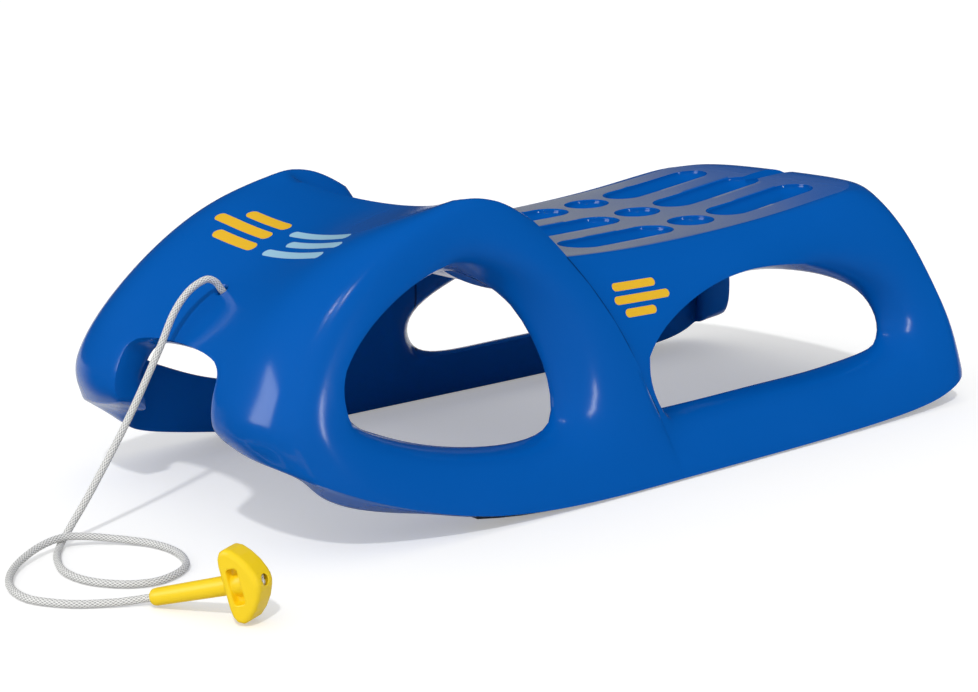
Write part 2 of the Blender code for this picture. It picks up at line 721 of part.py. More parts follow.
def pull_handle():
    """Builds the grip: stem, head, boss and the seat for the knot."""
    to_stem = Matrix.Rotation(math.pi / 2, 4, "Y")
    overlap = STEM_LENGTH + HEAD_DEPTH / 2
    profile = ((0, overlap), (STEM_ROOT_RADIUS, overlap), (STEM_ROOT_RADIUS, STEM_LENGTH),
               (STEM_RADIUS, STEM_CHAMFER), (STEM_RADIUS - STEM_CHAMFER, 0), (0, 0))
    handle = turned("pull_handle", profile)
    handle.data.transform(to_stem)
    handle.modifiers["turn"].axis = "X"
    head = as_cutter(grip_head())
    for side in (-1, 1):
        bm = bmesh.new()
        bmesh.ops.create_cube(bm, size=1)
        bmesh.ops.scale(bm, verts=bm.verts, vec=(CORE_DEPTH_ALONG, CORE_SINK * 2, CORE_LENGTH))
        bmesh.ops.bevel(bm, geom=bm.edges, offset=CORE_ROUND, segments=2, profile=0.5, affect="EDGES")
        core = as_cutter(mesh_object(f"core_cutter_{side + 2}", bm))
        core.location = (STEM_LENGTH + CORE_START + CORE_DEPTH_ALONG / 2, side * HEAD_THICKNESS / 2, 0)
        boolean(head, core, "DIFFERENCE")
        core.parent = handle
    boss_end = STEM_LENGTH + HEAD_DEPTH - SEAT_DEPTH / 2
    boss = as_cutter(rod("boss_core", BOSS_RADIUS, STEM_LENGTH / 2, boss_end))
    bore = as_cutter(rod("bore_cutter", BORE_RADIUS, -OVERRUN, STEM_LENGTH + HEAD_DEPTH))
    seat = as_cutter(rod("knot_seat_cutter", SEAT_RADIUS, STEM_LENGTH + HEAD_DEPTH - SEAT_DEPTH,
                         STEM_LENGTH + HEAD_DEPTH + OVERRUN))
    for piece in (boss, bore, seat):
        piece.rotation_euler = (0, math.pi / 2, 0)
    for piece, operation in ((head, "UNION"), (boss, "UNION"), (bore, "DIFFERENCE"), (seat, "DIFFERENCE")):
        piece.parent = handle
        boolean(handle, piece, operation)
    place, turn = grip_frame()
    handle.location = place
    handle.rotation_euler = turn.to_euler()
    return handle


def settle(body):
    """Moves everything so that the body's middle stands over the origin."""
    bpy.context.view_layer.update()
    shape = body.evaluated_get(bpy.context.evaluated_depsgraph_get())
    along = [(shape.matrix_world @ Vector(corner)).y for corner in shape.bound_box]
    middle = (min(along) + max(along)) / 2
    for obj in bpy.data.objects:
        if obj.parent is None:
            obj.location.y -= middle
    return middle


def finish(parts, made):
    """Gives each part its material and smooth shading."""
    for part in parts:
        part.data.materials.append(made)
        if part.type == "MESH":
            smooth(part)


clear_scene()
PARTS = collection("snow_sled", False)
CUTTERS = collection("cutters", True)

BODY = sled_body()
STRIP_LEFT, SCREWS_LEFT = runner(1, "left", BODY)
STRIP_RIGHT, SCREWS_RIGHT = runner(-1, "right", BODY)
CORD = pull_cord()
HANDLE = pull_handle()
MOUTH, OUT = hole_place()
STOP_KNOT = knot("cord_stop_knot", MOUTH - OUT * (CORD_HOLE_REACH + KNOT_STANDOFF), OUT)
GRIP_PLACE, GRIP_AXES = grip_frame()
GRIP_WAY = GRIP_AXES @ Vector((1, 0, 0))
HANDLE_KNOT = knot("handle_knot", GRIP_PLACE + GRIP_WAY * (STEM_LENGTH + HEAD_DEPTH - SEAT_DEPTH
                                                           + knot_reach() - KNOT_NEST + GAP), GRIP_WAY)

finish([BODY], material("blue_plastic", (0.0, 0.095, 0.38), 0.32, 0))
finish([STRIP_LEFT, STRIP_RIGHT], material("strip_steel", (0.55, 0.56, 0.58), 0.35, 1))
finish(SCREWS_LEFT + SCREWS_RIGHT, material("screw_steel", (0.42, 0.43, 0.45), 0.3, 1))
finish([CORD], material("cord_braid", (0.78, 0.78, 0.76), 0.8, 0))
finish([STOP_KNOT, HANDLE_KNOT], material("knot_braid", (0.76, 0.76, 0.74), 0.8, 0))
finish([HANDLE], material("yellow_plastic", (0.83, 0.56, 0.012), 0.35, 0))
settle(BODY)
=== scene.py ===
"""Moulded snow sled with a braided pull cord and a yellow grip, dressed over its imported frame."""
import math

import bmesh
import bpy
from bpy.props import FloatProperty, FloatVectorProperty, IntProperty, PointerProperty
from mathutils import Matrix, Vector


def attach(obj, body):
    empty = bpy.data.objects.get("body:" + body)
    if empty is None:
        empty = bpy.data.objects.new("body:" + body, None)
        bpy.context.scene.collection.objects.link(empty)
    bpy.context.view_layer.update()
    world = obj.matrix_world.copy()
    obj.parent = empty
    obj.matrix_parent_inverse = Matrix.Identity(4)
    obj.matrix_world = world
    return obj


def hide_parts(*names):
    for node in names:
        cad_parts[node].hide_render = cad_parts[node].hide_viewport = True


bl_info = {
    "name": "Moulded Snow Sled",
    "version": (1, 0, 0),
    "blender": (4, 5, 0),
    "location": "View3D > Sidebar > Sled",
    "description": "Dresses a snow sled with body, runners, cord, knots and grip",
    "category": "Add Mesh",
}

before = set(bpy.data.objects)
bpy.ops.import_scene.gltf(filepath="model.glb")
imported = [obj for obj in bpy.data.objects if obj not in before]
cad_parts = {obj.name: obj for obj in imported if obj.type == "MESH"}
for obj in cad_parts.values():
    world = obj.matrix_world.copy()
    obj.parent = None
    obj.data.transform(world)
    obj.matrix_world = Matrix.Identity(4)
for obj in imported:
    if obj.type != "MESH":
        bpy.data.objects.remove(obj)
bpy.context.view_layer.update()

# Camera of the photograph
CAMERA_PLACE = (1.5319, -1.37608, 0.5622)
CAMERA_AZIMUTH = math.radians(49.53)
CAMERA_DROP = math.radians(12.72)
CAMERA_ROLL = math.radians(-0.5325)
CAMERA_LENS, CAMERA_SENSOR, CAMERA_REACH = 71.98, 36, 100

# The middle of the body stands over the origin
SETTLE = Vector((0, -0.01148, 0))
RUNNER_PROUD = 0.0015

# Outer surface from the front arch over hood and seat to the rear arch, half the width
STRIP = (
    ((0, -0.457, 0.568), (0.331, -0.463, 0.549), (0.535, -0.474, 0.508), (0.696, -0.472, 0.463)),
    ((0, -0.438, 0.631), (0.318, -0.444, 0.638), (0.522, -0.455, 0.628), (0.688, -0.453, 0.584)),
    ((0, -0.389, 0.742), (0.297, -0.394, 0.765), (0.501, -0.402, 0.787), (0.645, -0.394, 0.775)),
    ((0, -0.316, 0.856), (0.280, -0.318, 0.882), (0.493, -0.322, 0.925), (0.637, -0.320, 0.918)),
    ((0, -0.217, 0.928), (0.290, -0.219, 0.937), (0.510, -0.225, 0.962), (0.620, -0.232, 0.996)),
    ((0, -0.200, 0.792), (0.275, -0.200, 0.799), (0.480, -0.194, 0.828), (0.620, -0.183, 1.002)),
    ((0, -0.153, 0.736), (0.263, -0.153, 0.736), (0.455, -0.149, 0.750), (0.611, -0.143, 0.925)),
    ((0, -0.124, 0.735), (0.263, -0.124, 0.735), (0.454, -0.124, 0.738), (0.594, -0.128, 0.835)),
    ((0, -0.095, 0.735), (0.263, -0.095, 0.735), (0.459, -0.095, 0.735), (0.586, -0.097, 0.745)),
    ((0, 0.021, 0.735), (0.263, 0.021, 0.735), (0.459, 0.021, 0.735), (0.582, 0.021, 0.731)),
    ((0, 0.137, 0.748), (0.263, 0.137, 0.748), (0.471, 0.137, 0.748), (0.592, 0.137, 0.747)),
    ((0, 0.242, 0.774), (0.263, 0.242, 0.774), (0.480, 0.242, 0.774), (0.608, 0.242, 0.770)),
    ((0, 0.342, 0.818), (0.263, 0.342, 0.818), (0.488, 0.342, 0.815), (0.625, 0.339, 0.808)),
    ((0, 0.419, 0.846), (0.255, 0.419, 0.846), (0.467, 0.414, 0.843), (0.590, 0.402, 0.834)),
    ((0, 0.455, 0.824), (0.255, 0.454, 0.824), (0.452, 0.446, 0.818), (0.560, 0.434, 0.798)),
    ((0, 0.479, 0.537), (0.297, 0.480, 0.527), (0.552, 0.482, 0.503), (0.798, 0.465, 0.503)),
)

# Hollow underside below each row of the strip, along and up
UNDER = (
    (-0.423, 0.503), (-0.408, 0.550), (-0.368, 0.638), (-0.316, 0.732), (-0.248, 0.820),
    (-0.211, 0.725), (-0.158, 0.660), (-0.124, 0.652), (-0.095, 0.648), (0.021, 0.648),
    (0.137, 0.658), (0.242, 0.681), (0.335, 0.722), (0.392, 0.745), (0.417, 0.702),
    (0.447, 0.497),
)

# Legs, pillars and rails: shoulder, head, sill and foot of each column, front arch first
COLUMNS = (
    ((0.345, -0.476, 0.477), (0.354, -0.482, 0.409), (0.36, -0.482, 0.35), (0.364, -0.472, 0.318)),
    ((0.544, -0.484, 0.443), (0.552, -0.488, 0.389), (0.552, -0.486, 0.338), (0.552, -0.476, 0.29)),
    ((0.722, -0.477, 0.423), (0.739, -0.478, 0.388), (0.752, -0.476, 0.34), (0.76, -0.467, 0.276)),
    ((0.773, -0.453, 0.503), (0.824, -0.455, 0.443), (0.862, -0.453, 0.369),
     (0.887, -0.442, 0.232)),
    ((0.73, -0.402, 0.685), (0.798, -0.414, 0.545), (0.87, -0.408, 0.392), (0.943, -0.394, 0.161)),
    ((0.696, -0.322, 0.868), (0.73, -0.333, 0.74), (0.892, -0.339, 0.282), (0.977, -0.318, 0.081)),
    ((0.671, -0.24, 0.945), (0.696, -0.236, 0.832), (0.913, -0.248, 0.202), (0.992, -0.248, 0.03)),
    ((0.679, -0.178, 0.905), (0.762, -0.113, 0.69), (0.909, -0.069, 0.172), (1.0, -0.141, 0.0)),
    ((0.696, -0.112, 0.799), (0.794, -0.057, 0.57), (0.909, -0.009, 0.19), (1.0, -0.011, 0.0)),
    ((0.661, -0.1112, 0.795), (0.755, -0.0562, 0.567), (0.878, -0.0082, 0.189), (1.0, -0.004, 0.0)),
    ((0.676, -0.093, 0.664), (0.822, -0.027, 0.4), (0.884, -0.002, 0.182), (1.0, 0.01, 0.0)),
    ((0.692, 0.027, 0.671), (0.764, 0.063, 0.572), (0.896, 0.089, 0.184), (1.0, 0.095, 0.0)),
    ((0.705, 0.142, 0.688), (0.752, 0.166, 0.642), (0.896, 0.179, 0.19), (1.0, 0.184, 0.0)),
    ((0.718, 0.251, 0.711), (0.76, 0.282, 0.59), (0.896, 0.276, 0.188), (1.0, 0.276, 0.003)),
    ((0.73, 0.347, 0.72), (0.812, 0.418, 0.478), (0.894, 0.438, 0.22), (0.994, 0.376, 0.01)),
    ((0.722, 0.413, 0.722), (0.815, 0.454, 0.478), (0.902, 0.464, 0.262), (0.989, 0.45, 0.034)),
    ((0.713, 0.446, 0.692), (0.815, 0.468, 0.478), (0.909, 0.484, 0.302), (0.972, 0.494, 0.094)),
    ((0.798, 0.466, 0.436), (0.824, 0.482, 0.369), (0.849, 0.498, 0.268), (0.87, 0.507, 0.107)),
    ((0.603, 0.49, 0.436), (0.628, 0.502, 0.356), (0.645, 0.51, 0.255), (0.662, 0.51, 0.114)),
)

# Way in from the outer to the inner wall at each column: across, along at the shoulder, along below
INWARD = (
    (0, 1, 1), (0, 1, 1), (-0.75, 0.95, 0.95), (-1, 0.45, 0.45), (-1, 0.1, 0.1), (-1, 0, 0),
    (-1, 0, 0), (-1, -0.2, -1.35), (-1, -0.3, -1.2), (-1, -0.2, -1.05), (-1, 0, -0.75), (-1, 0, 0),
    (-1, 0, 0), (-1, 0, 0), (-1, 0, -1.1), (-1, 0, 0), (-1, -0.35, -0.35),
    (-0.75, -0.95, -0.95), (0, -1, -1),
)

# Drops of the inner wall below the outer one
UNDER_EDGE_DROP, UNDER_TUCK = 0.004, 0.006
SHOULDER_DROP, SHOULDER_STEP = 0.012, 0.003
HEAD_STEP, HEAD_DROP, SILL_RISE, NOSE_DROP = 0.008, 0.014, 0.003, 0.014
NOSE = (1, 1, 1.4, 1.7, 1.2, 0.5, 0.2)

# Cells that stay open, rows and columns with a crisp edge, and how crisp
FRONT_CELLS, REAR_CELLS = (4, 6), (10, 13)
FRONT_COLUMNS, STEP_COLUMN, HOOD_ROW = 2, 8, 4
SEAT_ROWS = (8, 13)
FOOT_CREASE, SEAT_CREASE, HOOD_CREASE, CREST_CREASE = 0.85, 0.75, 0.6, 0.35
STEP_CREASE, HOLLOW_CREASE, RIM_CREASE, RIM_END_CREASE = 1.0, 1.0, 0.6, 0.85
ARCH_CREASE, INNER_SILL_CREASE = 0.6, 0.5
BODY_LEVELS, CRISP_ANGLE = 3, math.radians(38)

# Pockets of the seat as first and last centre, their pitch and the drain channel
POCKETS = ((0.0, 0.103), (0.1695, 0.1695), (0.235, 0.342))
POCKET_PITCH = 0.082
CHANNEL = (0.342, 0.470)
CHANNEL_RADIUS, CHANNEL_DEPTH = 0.0075, 0.006
BOWL_POWER, BOWL_RIM, BOWL_STEPS = 2.0, 0.14, 10
POCKET_STEPS = 44
LIP_ROUND = ((1, 0), (0.45, 0.3), (0.12, 0.75), (0, 1.4))

# How far a cutter reaches past the surface, and distances within which points count as together
OVERCUT = 0.02
MERGE, SEAM, ON_AXIS, SAME_LEVEL = 0.000001, 0.00002, 0.00001, 0.0001

# Grained panel of the seat: half its width, rear end, rounding of its corners, and its fading edge
PANEL_HALF, PANEL_END, PANEL_CORNER = 0.137, 0.384, 0.055
PANEL_FADE, PANEL_EDGE = 0.24, 900.0

# Share of a glance along the seat from which its painted sheen starts to show, and where it shows
# in full
GRAZING = (0.69, 0.82)

# Shade at the foot of the side step: how far behind the edge, dark and soft reach, and tone
STEP_SHADE_BACK = 0.0008
STEP_SHADE = (0.0007, 0.0022, 0.30)

# Cord hole and the route of the cord
HOLE_PLACE = (-0.407, 0.708)
HOLE_LEAN = math.radians(36)
HOLE_RADIUS, HOLE_REACH, HOLE_PAST, HOLE_FLARE = 0.0052, 0.030, 1.7, 0.0030
HOLE_ROUND = ((0.0012, 0.0010), (0.0003, 0.0024), (0.0, 0.004))
HOLE_LIP, HOLE_STEPS, HOLE_TURN = 0.0004, 40, math.radians(2)
KNOT_STANDOFF, KNOT_REACH, KNOT_NEST = 0.0167, 0.0079, 0.0003
ROUTE = (
    (0, -0.4145, 0.2330), (-0.001, -0.4255, 0.2355), (-0.002, -0.4440, 0.2260),
    (-0.002, -0.4615, 0.2065), (-0.003, -0.4800, 0.1715), (-0.004, -0.5160, 0.1105),
    (-0.006, -0.5580, 0.0480), (-0.006, -0.5850, 0.0134), (0.0085, -0.6030, 0.0044),
    (0.038, -0.622, 0.0041), (0.076, -0.635, 0.0041), (0.114, -0.631, 0.0041),
    (0.145, -0.609, 0.0041), (0.155, -0.580, 0.0041), (0.138, -0.546, 0.0041),
    (0.101, -0.530, 0.0041), (0.060, -0.534, 0.0042), (0.027, -0.558, 0.0066),
    (0.0105, -0.5850, 0.0106), (0.0085, -0.6050, 0.0121), (0.017, -0.634, 0.0096),
    (0.040, -0.667, 0.0052), (0.077, -0.690, 0.0041), (0.118, -0.694, 0.0041),
    (0.154, -0.674, 0.0041), (0.1785, -0.6440, 0.0046),
)
ROUTE_READS = 40
CORD_RING_STEP, CORD_SIDES, CORD_EXIT = 0.0011, 32, 0.6
BRAID_STRANDS, BRAID_STEP, BRAID_RELIEF = 8, 0.0042, 0.10

# Grip: place, turn on the floor, lift of the stem and its parts
GRIP_PLACE = (0.201, -0.617, 0.0090)
GRIP_TURN, GRIP_LIFT = math.radians(24), math.radians(16)
STEM_LENGTH, STEM_RADIUS, STEM_ROOT_RADIUS = 0.079, 0.0075, 0.0083
HEAD_DEPTH, HEAD_LENGTH, HEAD_THICKNESS, HEAD_ROUND = 0.035, 0.063, 0.0245, 0.0045
BOSS_RADIUS, BORE_RADIUS, BORE_PAST = 0.0098, 0.0042, 0.004
CORE_START, CORE_ALONG, CORE_LENGTH, CORE_SINK = 0.0070, 0.0110, 0.030, 0.0085
KNOT_SEAT_RADIUS, KNOT_SEAT_DEPTH = 0.0070, 0.0125
MOUTH_RADIUS, MOUTH_LIP, MOUTH_FLARE = 0.0044, 0.0012, 0.0045
GRIP_END = STEM_LENGTH + HEAD_DEPTH
KNOT_SEAT = GRIP_END - KNOT_SEAT_DEPTH
HEAD_OUTLINE = (
    (0, 0.28), (0.03, 0.39), (0.12, 0.47), (0.28, 0.50), (0.44, 0.47), (0.64, 0.375),
    (0.82, 0.25), (0.94, 0.12), (0.985, 0.04),
)
STEM_ROUND = ((0.004, 0.0), (0.0014, 0.0004), (0.0, 0.0014))
HEAD_SEGMENTS, CORE_ROUND, CORE_SEGMENTS = 5, 0.0030, 4
STEM_STEPS, BOSS_STEPS, BORE_STEPS, SEAT_STEPS = 48, 40, 32, 40
GRIP_VOXEL, GRIP_SOFTENING, GRIP_SOFT_STEPS = 0.0007, 0.5, 5

# Knots: size of each, how far out the grip's knot sits, and thickness and points of their braid
STOP_KNOT_SIZE, GRIP_KNOT_SIZE, GRIP_KNOT_LIFT = 0.64, 0.30, 0.0048
KNOT_BRAID, KNOT_POINTS, KNOT_SIDES, KNOT_PART, KNOT_DEPTH = 0.94, 140, 20, 0.995, 1.5

# Plain printed bars: centre, turn in degrees, then across, up, half length, radius and colour
HOOD_BARS = ((0.0, -0.330, 0.249), (22, 0, 0), (
    (-0.052, 0.026, 0.026, 0.0066, "warm_bar"), (-0.066, 0.005, 0.036, 0.0066, "warm_bar"),
    (-0.054, -0.016, 0.026, 0.0066, "warm_bar"), (0.044, 0.018, 0.044, 0.0054, "cool_bar"),
    (0.058, 0.0, 0.040, 0.0054, "cool_bar"), (0.046, -0.018, 0.044, 0.0054, "cool_bar")))
SIDE_BARS = ((0.172, -0.010, 0.178), (64, 0, 87), (
    (-0.010, 0.014, 0.024, 0.0045, "warm_bar"), (-0.004, 0.0, 0.032, 0.0045, "warm_bar"),
    (-0.010, -0.014, 0.016, 0.0045, "warm_bar")))
BAR_REACH, BAR_EDGE = 0.022, 4000.0

# Plastics: roughness, height of the grain and its share, then the grain and the spread of the look
BODY_FINISH, SEAT_FINISH = (0.16, 0.00003, 0.35), (0.50, 0.00025, 0.85)
POCKET_FINISH, GRIP_FINISH = (0.10, 0.00001, 0.2), (0.36, 0.00008, 0.5)
GRAIN_SCALE, SEAT_GRAIN_SCALE, WAVE_SCALE = 900.0, 700.0, 9.0
GRAIN_NOISE, WAVE_NOISE, PLASTIC_IOR = (3.0, 0.6), (2.0, 0.4), 1.5
GLOSS_SPREAD, TONE_SPREAD = 0.03, 0.94
SEAT_EDGE_GLOSS, SHEEN, SHEEN_GLOSS = 0.20, 0.75, 0.35

# Yarn: where painted shade darkens the gaps between yarns, range and tone of its flecks, relief,
# roughness and sheen
YARN_DARK, FLECK, FLECK_TONE, FLECK_SCALE = (0.10, 0.50), (0.35, 0.65), 0.86, 160.0
YARN_RELIEF, YARN_GLOSS, YARN_SHEEN = (0.6, 0.0004), 0.62, 0.25

# Steel: roughness of strip and screw, tone of the screw, and the drawn lines
STRIP_GLOSS, SCREW_GLOSS, SCREW_TONE = 0.34, 0.28, 0.8
LINE_STRETCH, LINE_SCALE, LINE_RELIEF = (1.0, 0.03, 1.0), 1400.0, (0.3, 0.0002)
LINE_RANGE, LINE_GLOSS = (0.3, 0.7), (-0.08, 0.12)

# Studio: the key lamp, then name, power, place, aim and size of the lamps that only the gloss shows
KEY_WAY, KEY_ANGLE = (0.47, -0.46, 0.75), math.radians(3)
MIRRORED_LAMPS = (
    ("front_softbox", "front_box", (-0.85, -3.05, 1.30), (0.15, -0.45, 0.14), (1.5, 1.9)),
    ("twin_lamp_left", "twin", (0.72, -0.84, 2.0), (0, 0.2, 0.22), (0.05, 0.05)),
    ("twin_lamp_right", "twin", (0.98, -0.60, 2.0), (0, 0.2, 0.22), (0.05, 0.05)),
    ("side_softbox", "side_box", (3.0, 0.05, 1.1), (0.2, 0.0, 0.09), (0.12, 1.1)),
)

# Share of the fill from before and behind, the floor's glow, and where the mirrored room ends
FILL_FRONT, FILL_BACK = 1.42, 0.40
FLOOR_GLOW, FLOOR_WARMTH = 0.33, 0.99
BACKDROP_UP, BACKDROP_AHEAD, FLOOR_AHEAD = (0.36, 0.22), (0.70, 0.92), (0.3, 0.7)


def metres(name, description, default, least):
    """Makes a length property."""
    return FloatProperty(name=name, description=description, default=default, min=least,
                         unit="LENGTH")


def tint(name, description, default):
    """Makes a colour property."""
    return FloatVectorProperty(name=name, description=description, default=default, size=4, min=0,
                               max=1, subtype="COLOR")


def light(name, description, default):
    """Makes a property for the strength of a light."""
    return FloatProperty(name=name, description=description, default=default, min=0)


class SledSizes(bpy.types.PropertyGroup):
    """Sizes of the sled."""

    length: metres("Length", "Length that the body's shares refer to", 0.95, 0.1)
    half_width: metres("Half width", "From the middle to the rail's outer foot", 0.2355, 0.05)
    height: metres("Height", "Height that the body's shares refer to", 0.298, 0.05)
    wall: metres("Wall", "Depth of the double wall of legs and rails", 0.042, 0.005)
    pocket_radius: metres("Pocket radius", "Half the width of a seat pocket", 0.0240, 0.005)
    pocket_depth: metres("Pocket depth", "Depth of a seat pocket", 0.0120, 0.002)
    pocket_lip: metres("Pocket lip", "Width of the rounded edge of a pocket", 0.0014, 0.0002)
    cord_diameter: metres("Cord diameter", "Diameter of the braided cord", 0.007, 0.001)


class SledColours(bpy.types.PropertyGroup):
    """Colours of the sled."""

    body: tint("Body", "Colour of the moulded body", (0.0, 0.105, 0.465, 1))
    # The seat colour is a painted sheen: a pale reflection that shows only where the panel is seen
    # at a flat glance.
    seat: tint("Seat", "Colour of the grained seat at a flat glance", (0.075, 0.118, 0.235, 1))
    grip: tint("Grip", "Colour of the grip", (1.0, 0.70, 0.008, 1))
    cord: tint("Cord", "Colour of the cord's yarn", (0.90, 0.90, 0.88, 1))
    # Painted shade in the gaps between the yarns.
    cord_gap_shade: tint("Cord gaps", "Colour between the yarns", (0.26, 0.26, 0.26, 1))
    warm_bar: tint("Warm bar", "Colour of the warm printed bars", (0.85, 0.50, 0.03, 1))
    cool_bar: tint("Cool bar", "Colour of the cool printed bars", (0.36, 0.62, 0.80, 1))
    steel: tint("Steel", "Colour of the runner strips and screws", (0.55, 0.56, 0.58, 1))


class SledStudio(bpy.types.PropertyGroup):
    """Light of the studio."""

    fill: light("Fill", "Strength of the soft light from all round", 0.68)
    key: light("Key", "Strength of the key lamp", 1.30)
    dim: light("Dim surround", "Brightness of the room that the sled mirrors", 0.006)
    backdrop: light("Backdrop", "Brightness of the mirrored backdrop", 0.03)
    front_box: light("Front softbox", "Power of the softbox in front", 30.0)
    twin: light("Twin lamps", "Power of the two small mirrored lamps", 0.6)
    side_box: light("Side softbox", "Power of the narrow softbox at the side", 7.0)
    floor_tone: FloatProperty(name="Floor tone", description="Lightness of the floor", default=0.80,
                              min=0, max=1, subtype="FACTOR")
    floor_size: IntProperty(name="Floor size", description="Side of the floor in metres",
                            default=40, min=2)


def fresh_material(name):
    """Makes a material without nodes and returns it with its node tree."""
    made = bpy.data.materials.new(name)
    made.use_nodes = True
    made.node_tree.nodes.clear()
    return made, made.node_tree


def node(tree, kind, values=(), **settings):
    """Adds one node, sets it up, and links or sets its sockets."""
    made = tree.nodes.new(kind)
    for name, value in settings.items():
        setattr(made, name, value)
    for socket, value in dict(values).items():
        target = made.inputs[socket]
        if isinstance(value, bpy.types.NodeSocket):
            tree.links.new(value, target)
        else:
            target.default_value = value
    return made


def sums(tree, operation, *values, clamp=False):
    """Adds one maths node and returns its result."""
    return node(tree, "ShaderNodeMath", dict(enumerate(values)), operation=operation,
                use_clamp=clamp).outputs[0]


def vectors(tree, operation, *values):
    """Adds one vector maths node."""
    return node(tree, "ShaderNodeVectorMath", dict(enumerate(values)), operation=operation)


def remap(tree, value, source, target=(0.0, 1.0), kind="LINEAR"):
    """Moves a number from one range to another."""
    return node(tree, "ShaderNodeMapRange", {
        "Value": value, "From Min": source[0], "From Max": source[1], "To Min": target[0],
        "To Max": target[1]}, interpolation_type=kind).outputs[0]


def mixed(tree, mask, first, second, kind="MIX"):
    """Mixes two colours by a mask."""
    return node(tree, "ShaderNodeMix", {0: mask, 6: first, 7: second}, data_type="RGBA",
                blend_type=kind).outputs[2]


def between(tree, mask, first, second):
    """Mixes two numbers by a mask."""
    return node(tree, "ShaderNodeMix", {0: mask, 2: first, 3: second}, data_type="FLOAT").outputs[0]


def noise(tree, place, scale, detail, roughness=0.5):
    """Adds a noise texture."""
    return node(tree, "ShaderNodeTexNoise", {"Vector": place, "Scale": scale, "Detail": detail,
                                             "Roughness": roughness}).outputs[0]


def split(tree, place):
    """Splits a vector into its three numbers."""
    return node(tree, "ShaderNodeSeparateXYZ", {"Vector": place}).outputs


def relief(tree, height, strength, distance):
    """Adds a bump."""
    return node(tree, "ShaderNodeBump", {"Height": height, "Strength": strength,
                                         "Distance": distance}).outputs[0]


def start_group(name, inputs, outputs):
    """Starts a shader node group and returns it with its given sockets and its result."""
    group = bpy.data.node_groups.new(name, "ShaderNodeTree")
    for direction, sockets in (("INPUT", inputs), ("OUTPUT", outputs)):
        for label, value in sockets.items():
            kind = "NodeSocketVector" if value is None else "NodeSocketFloat"
            socket = group.interface.new_socket(name=label, in_out=direction, socket_type=kind)
            if value is not None:
                socket.default_value = value
    given, result = (group.nodes.new(f"NodeGroup{end}") for end in ("Input", "Output"))
    return group, given.outputs, result.inputs


def plastic_grain_group():
    """Builds the group of fine moulded grain with slow waves under it."""
    group, given, result = start_group(
        "plastic_grain",
        {"Vector": None, "Grain Scale": GRAIN_SCALE, "Wave Scale": WAVE_SCALE, "Grain Share": 0.5},
        {"Height": 0.0, "Tone": 0.0})
    grain = noise(group, given["Vector"], given["Grain Scale"], *GRAIN_NOISE)
    waves = noise(group, given["Vector"], given["Wave Scale"], *WAVE_NOISE)
    fine = sums(group, "MULTIPLY", grain, given["Grain Share"])
    slow = sums(group, "MULTIPLY", waves, sums(group, "SUBTRACT", 1.0, given["Grain Share"]))
    group.links.new(sums(group, "ADD", fine, slow), result["Height"])
    group.links.new(waves, result["Tone"])
    return group


def rounded_bar_group():
    """Builds the group that masks one round-ended bar on the X and Y of its vector."""
    group, given, result = start_group(
        "rounded_bar", {"Vector": None, "X": 0.0, "Y": 0.0, "Half Length": 0.02, "Radius": 0.004},
        {"Mask": 0.0})
    place = split(group, given["Vector"])
    across = sums(group, "ABSOLUTE", sums(group, "SUBTRACT", place[0], given["X"]))
    past = sums(group, "MAXIMUM", sums(group, "SUBTRACT", across, given["Half Length"]), 0.0)
    up = sums(group, "SUBTRACT", place[1], given["Y"])
    away = sums(group, "SQRT", sums(group, "ADD", sums(group, "MULTIPLY", past, past),
                                    sums(group, "MULTIPLY", up, up)))
    inside = sums(group, "SUBTRACT", given["Radius"], away)
    group.links.new(sums(group, "MULTIPLY", inside, BAR_EDGE, clamp=True), result["Mask"])
    return group


def braid_group():
    """Builds the group of a braid's yarns from the UV map of a cord."""
    group, given, result = start_group(
        "braid", {"Vector": None, "Strands": float(BRAID_STRANDS), "Step": BRAID_STEP},
        {"Yarn": 0.0, "Fleck": 0.0})
    place = split(group, given["Vector"])
    round_way = sums(group, "MULTIPLY", place[0], given["Strands"])
    along = sums(group, "DIVIDE", place[1], given["Step"])
    ways = [sums(group, operation, round_way, along) for operation in ("ADD", "SUBTRACT")]
    floors = [sums(group, "FLOOR", way) for way in ways]
    parity = sums(group, "PINGPONG", sums(group, "ADD", *floors), 1.0)
    one, two = (sums(group, "ABSOLUTE", sums(group, "SINE", sums(group, "MULTIPLY", way, math.pi)))
                for way in ways)
    over = sums(group, "ADD", sums(group, "MULTIPLY", one, parity),
                sums(group, "MULTIPLY", two, sums(group, "SUBTRACT", 1.0, parity)))
    bound = sums(group, "MULTIPLY", over, sums(group, "MAXIMUM", one, two))
    group.links.new(bound, result["Yarn"])
    group.links.new(noise(group, given["Vector"], FLECK_SCALE, 2.0), result["Fleck"])
    return group


def use_group(tree, name, build, values):
    """Places a shader group, which is built once, and returns its results."""
    group = bpy.data.node_groups.get(name) or build()
    return node(tree, "ShaderNodeGroup", values, node_tree=group).outputs


def finish_material(tree, shader_values):
    """Adds the Principled shader with its values and links it to the output."""
    shader = node(tree, "ShaderNodeBsdfPrincipled", shader_values)
    node(tree, "ShaderNodeOutputMaterial", {0: shader.outputs[0]})


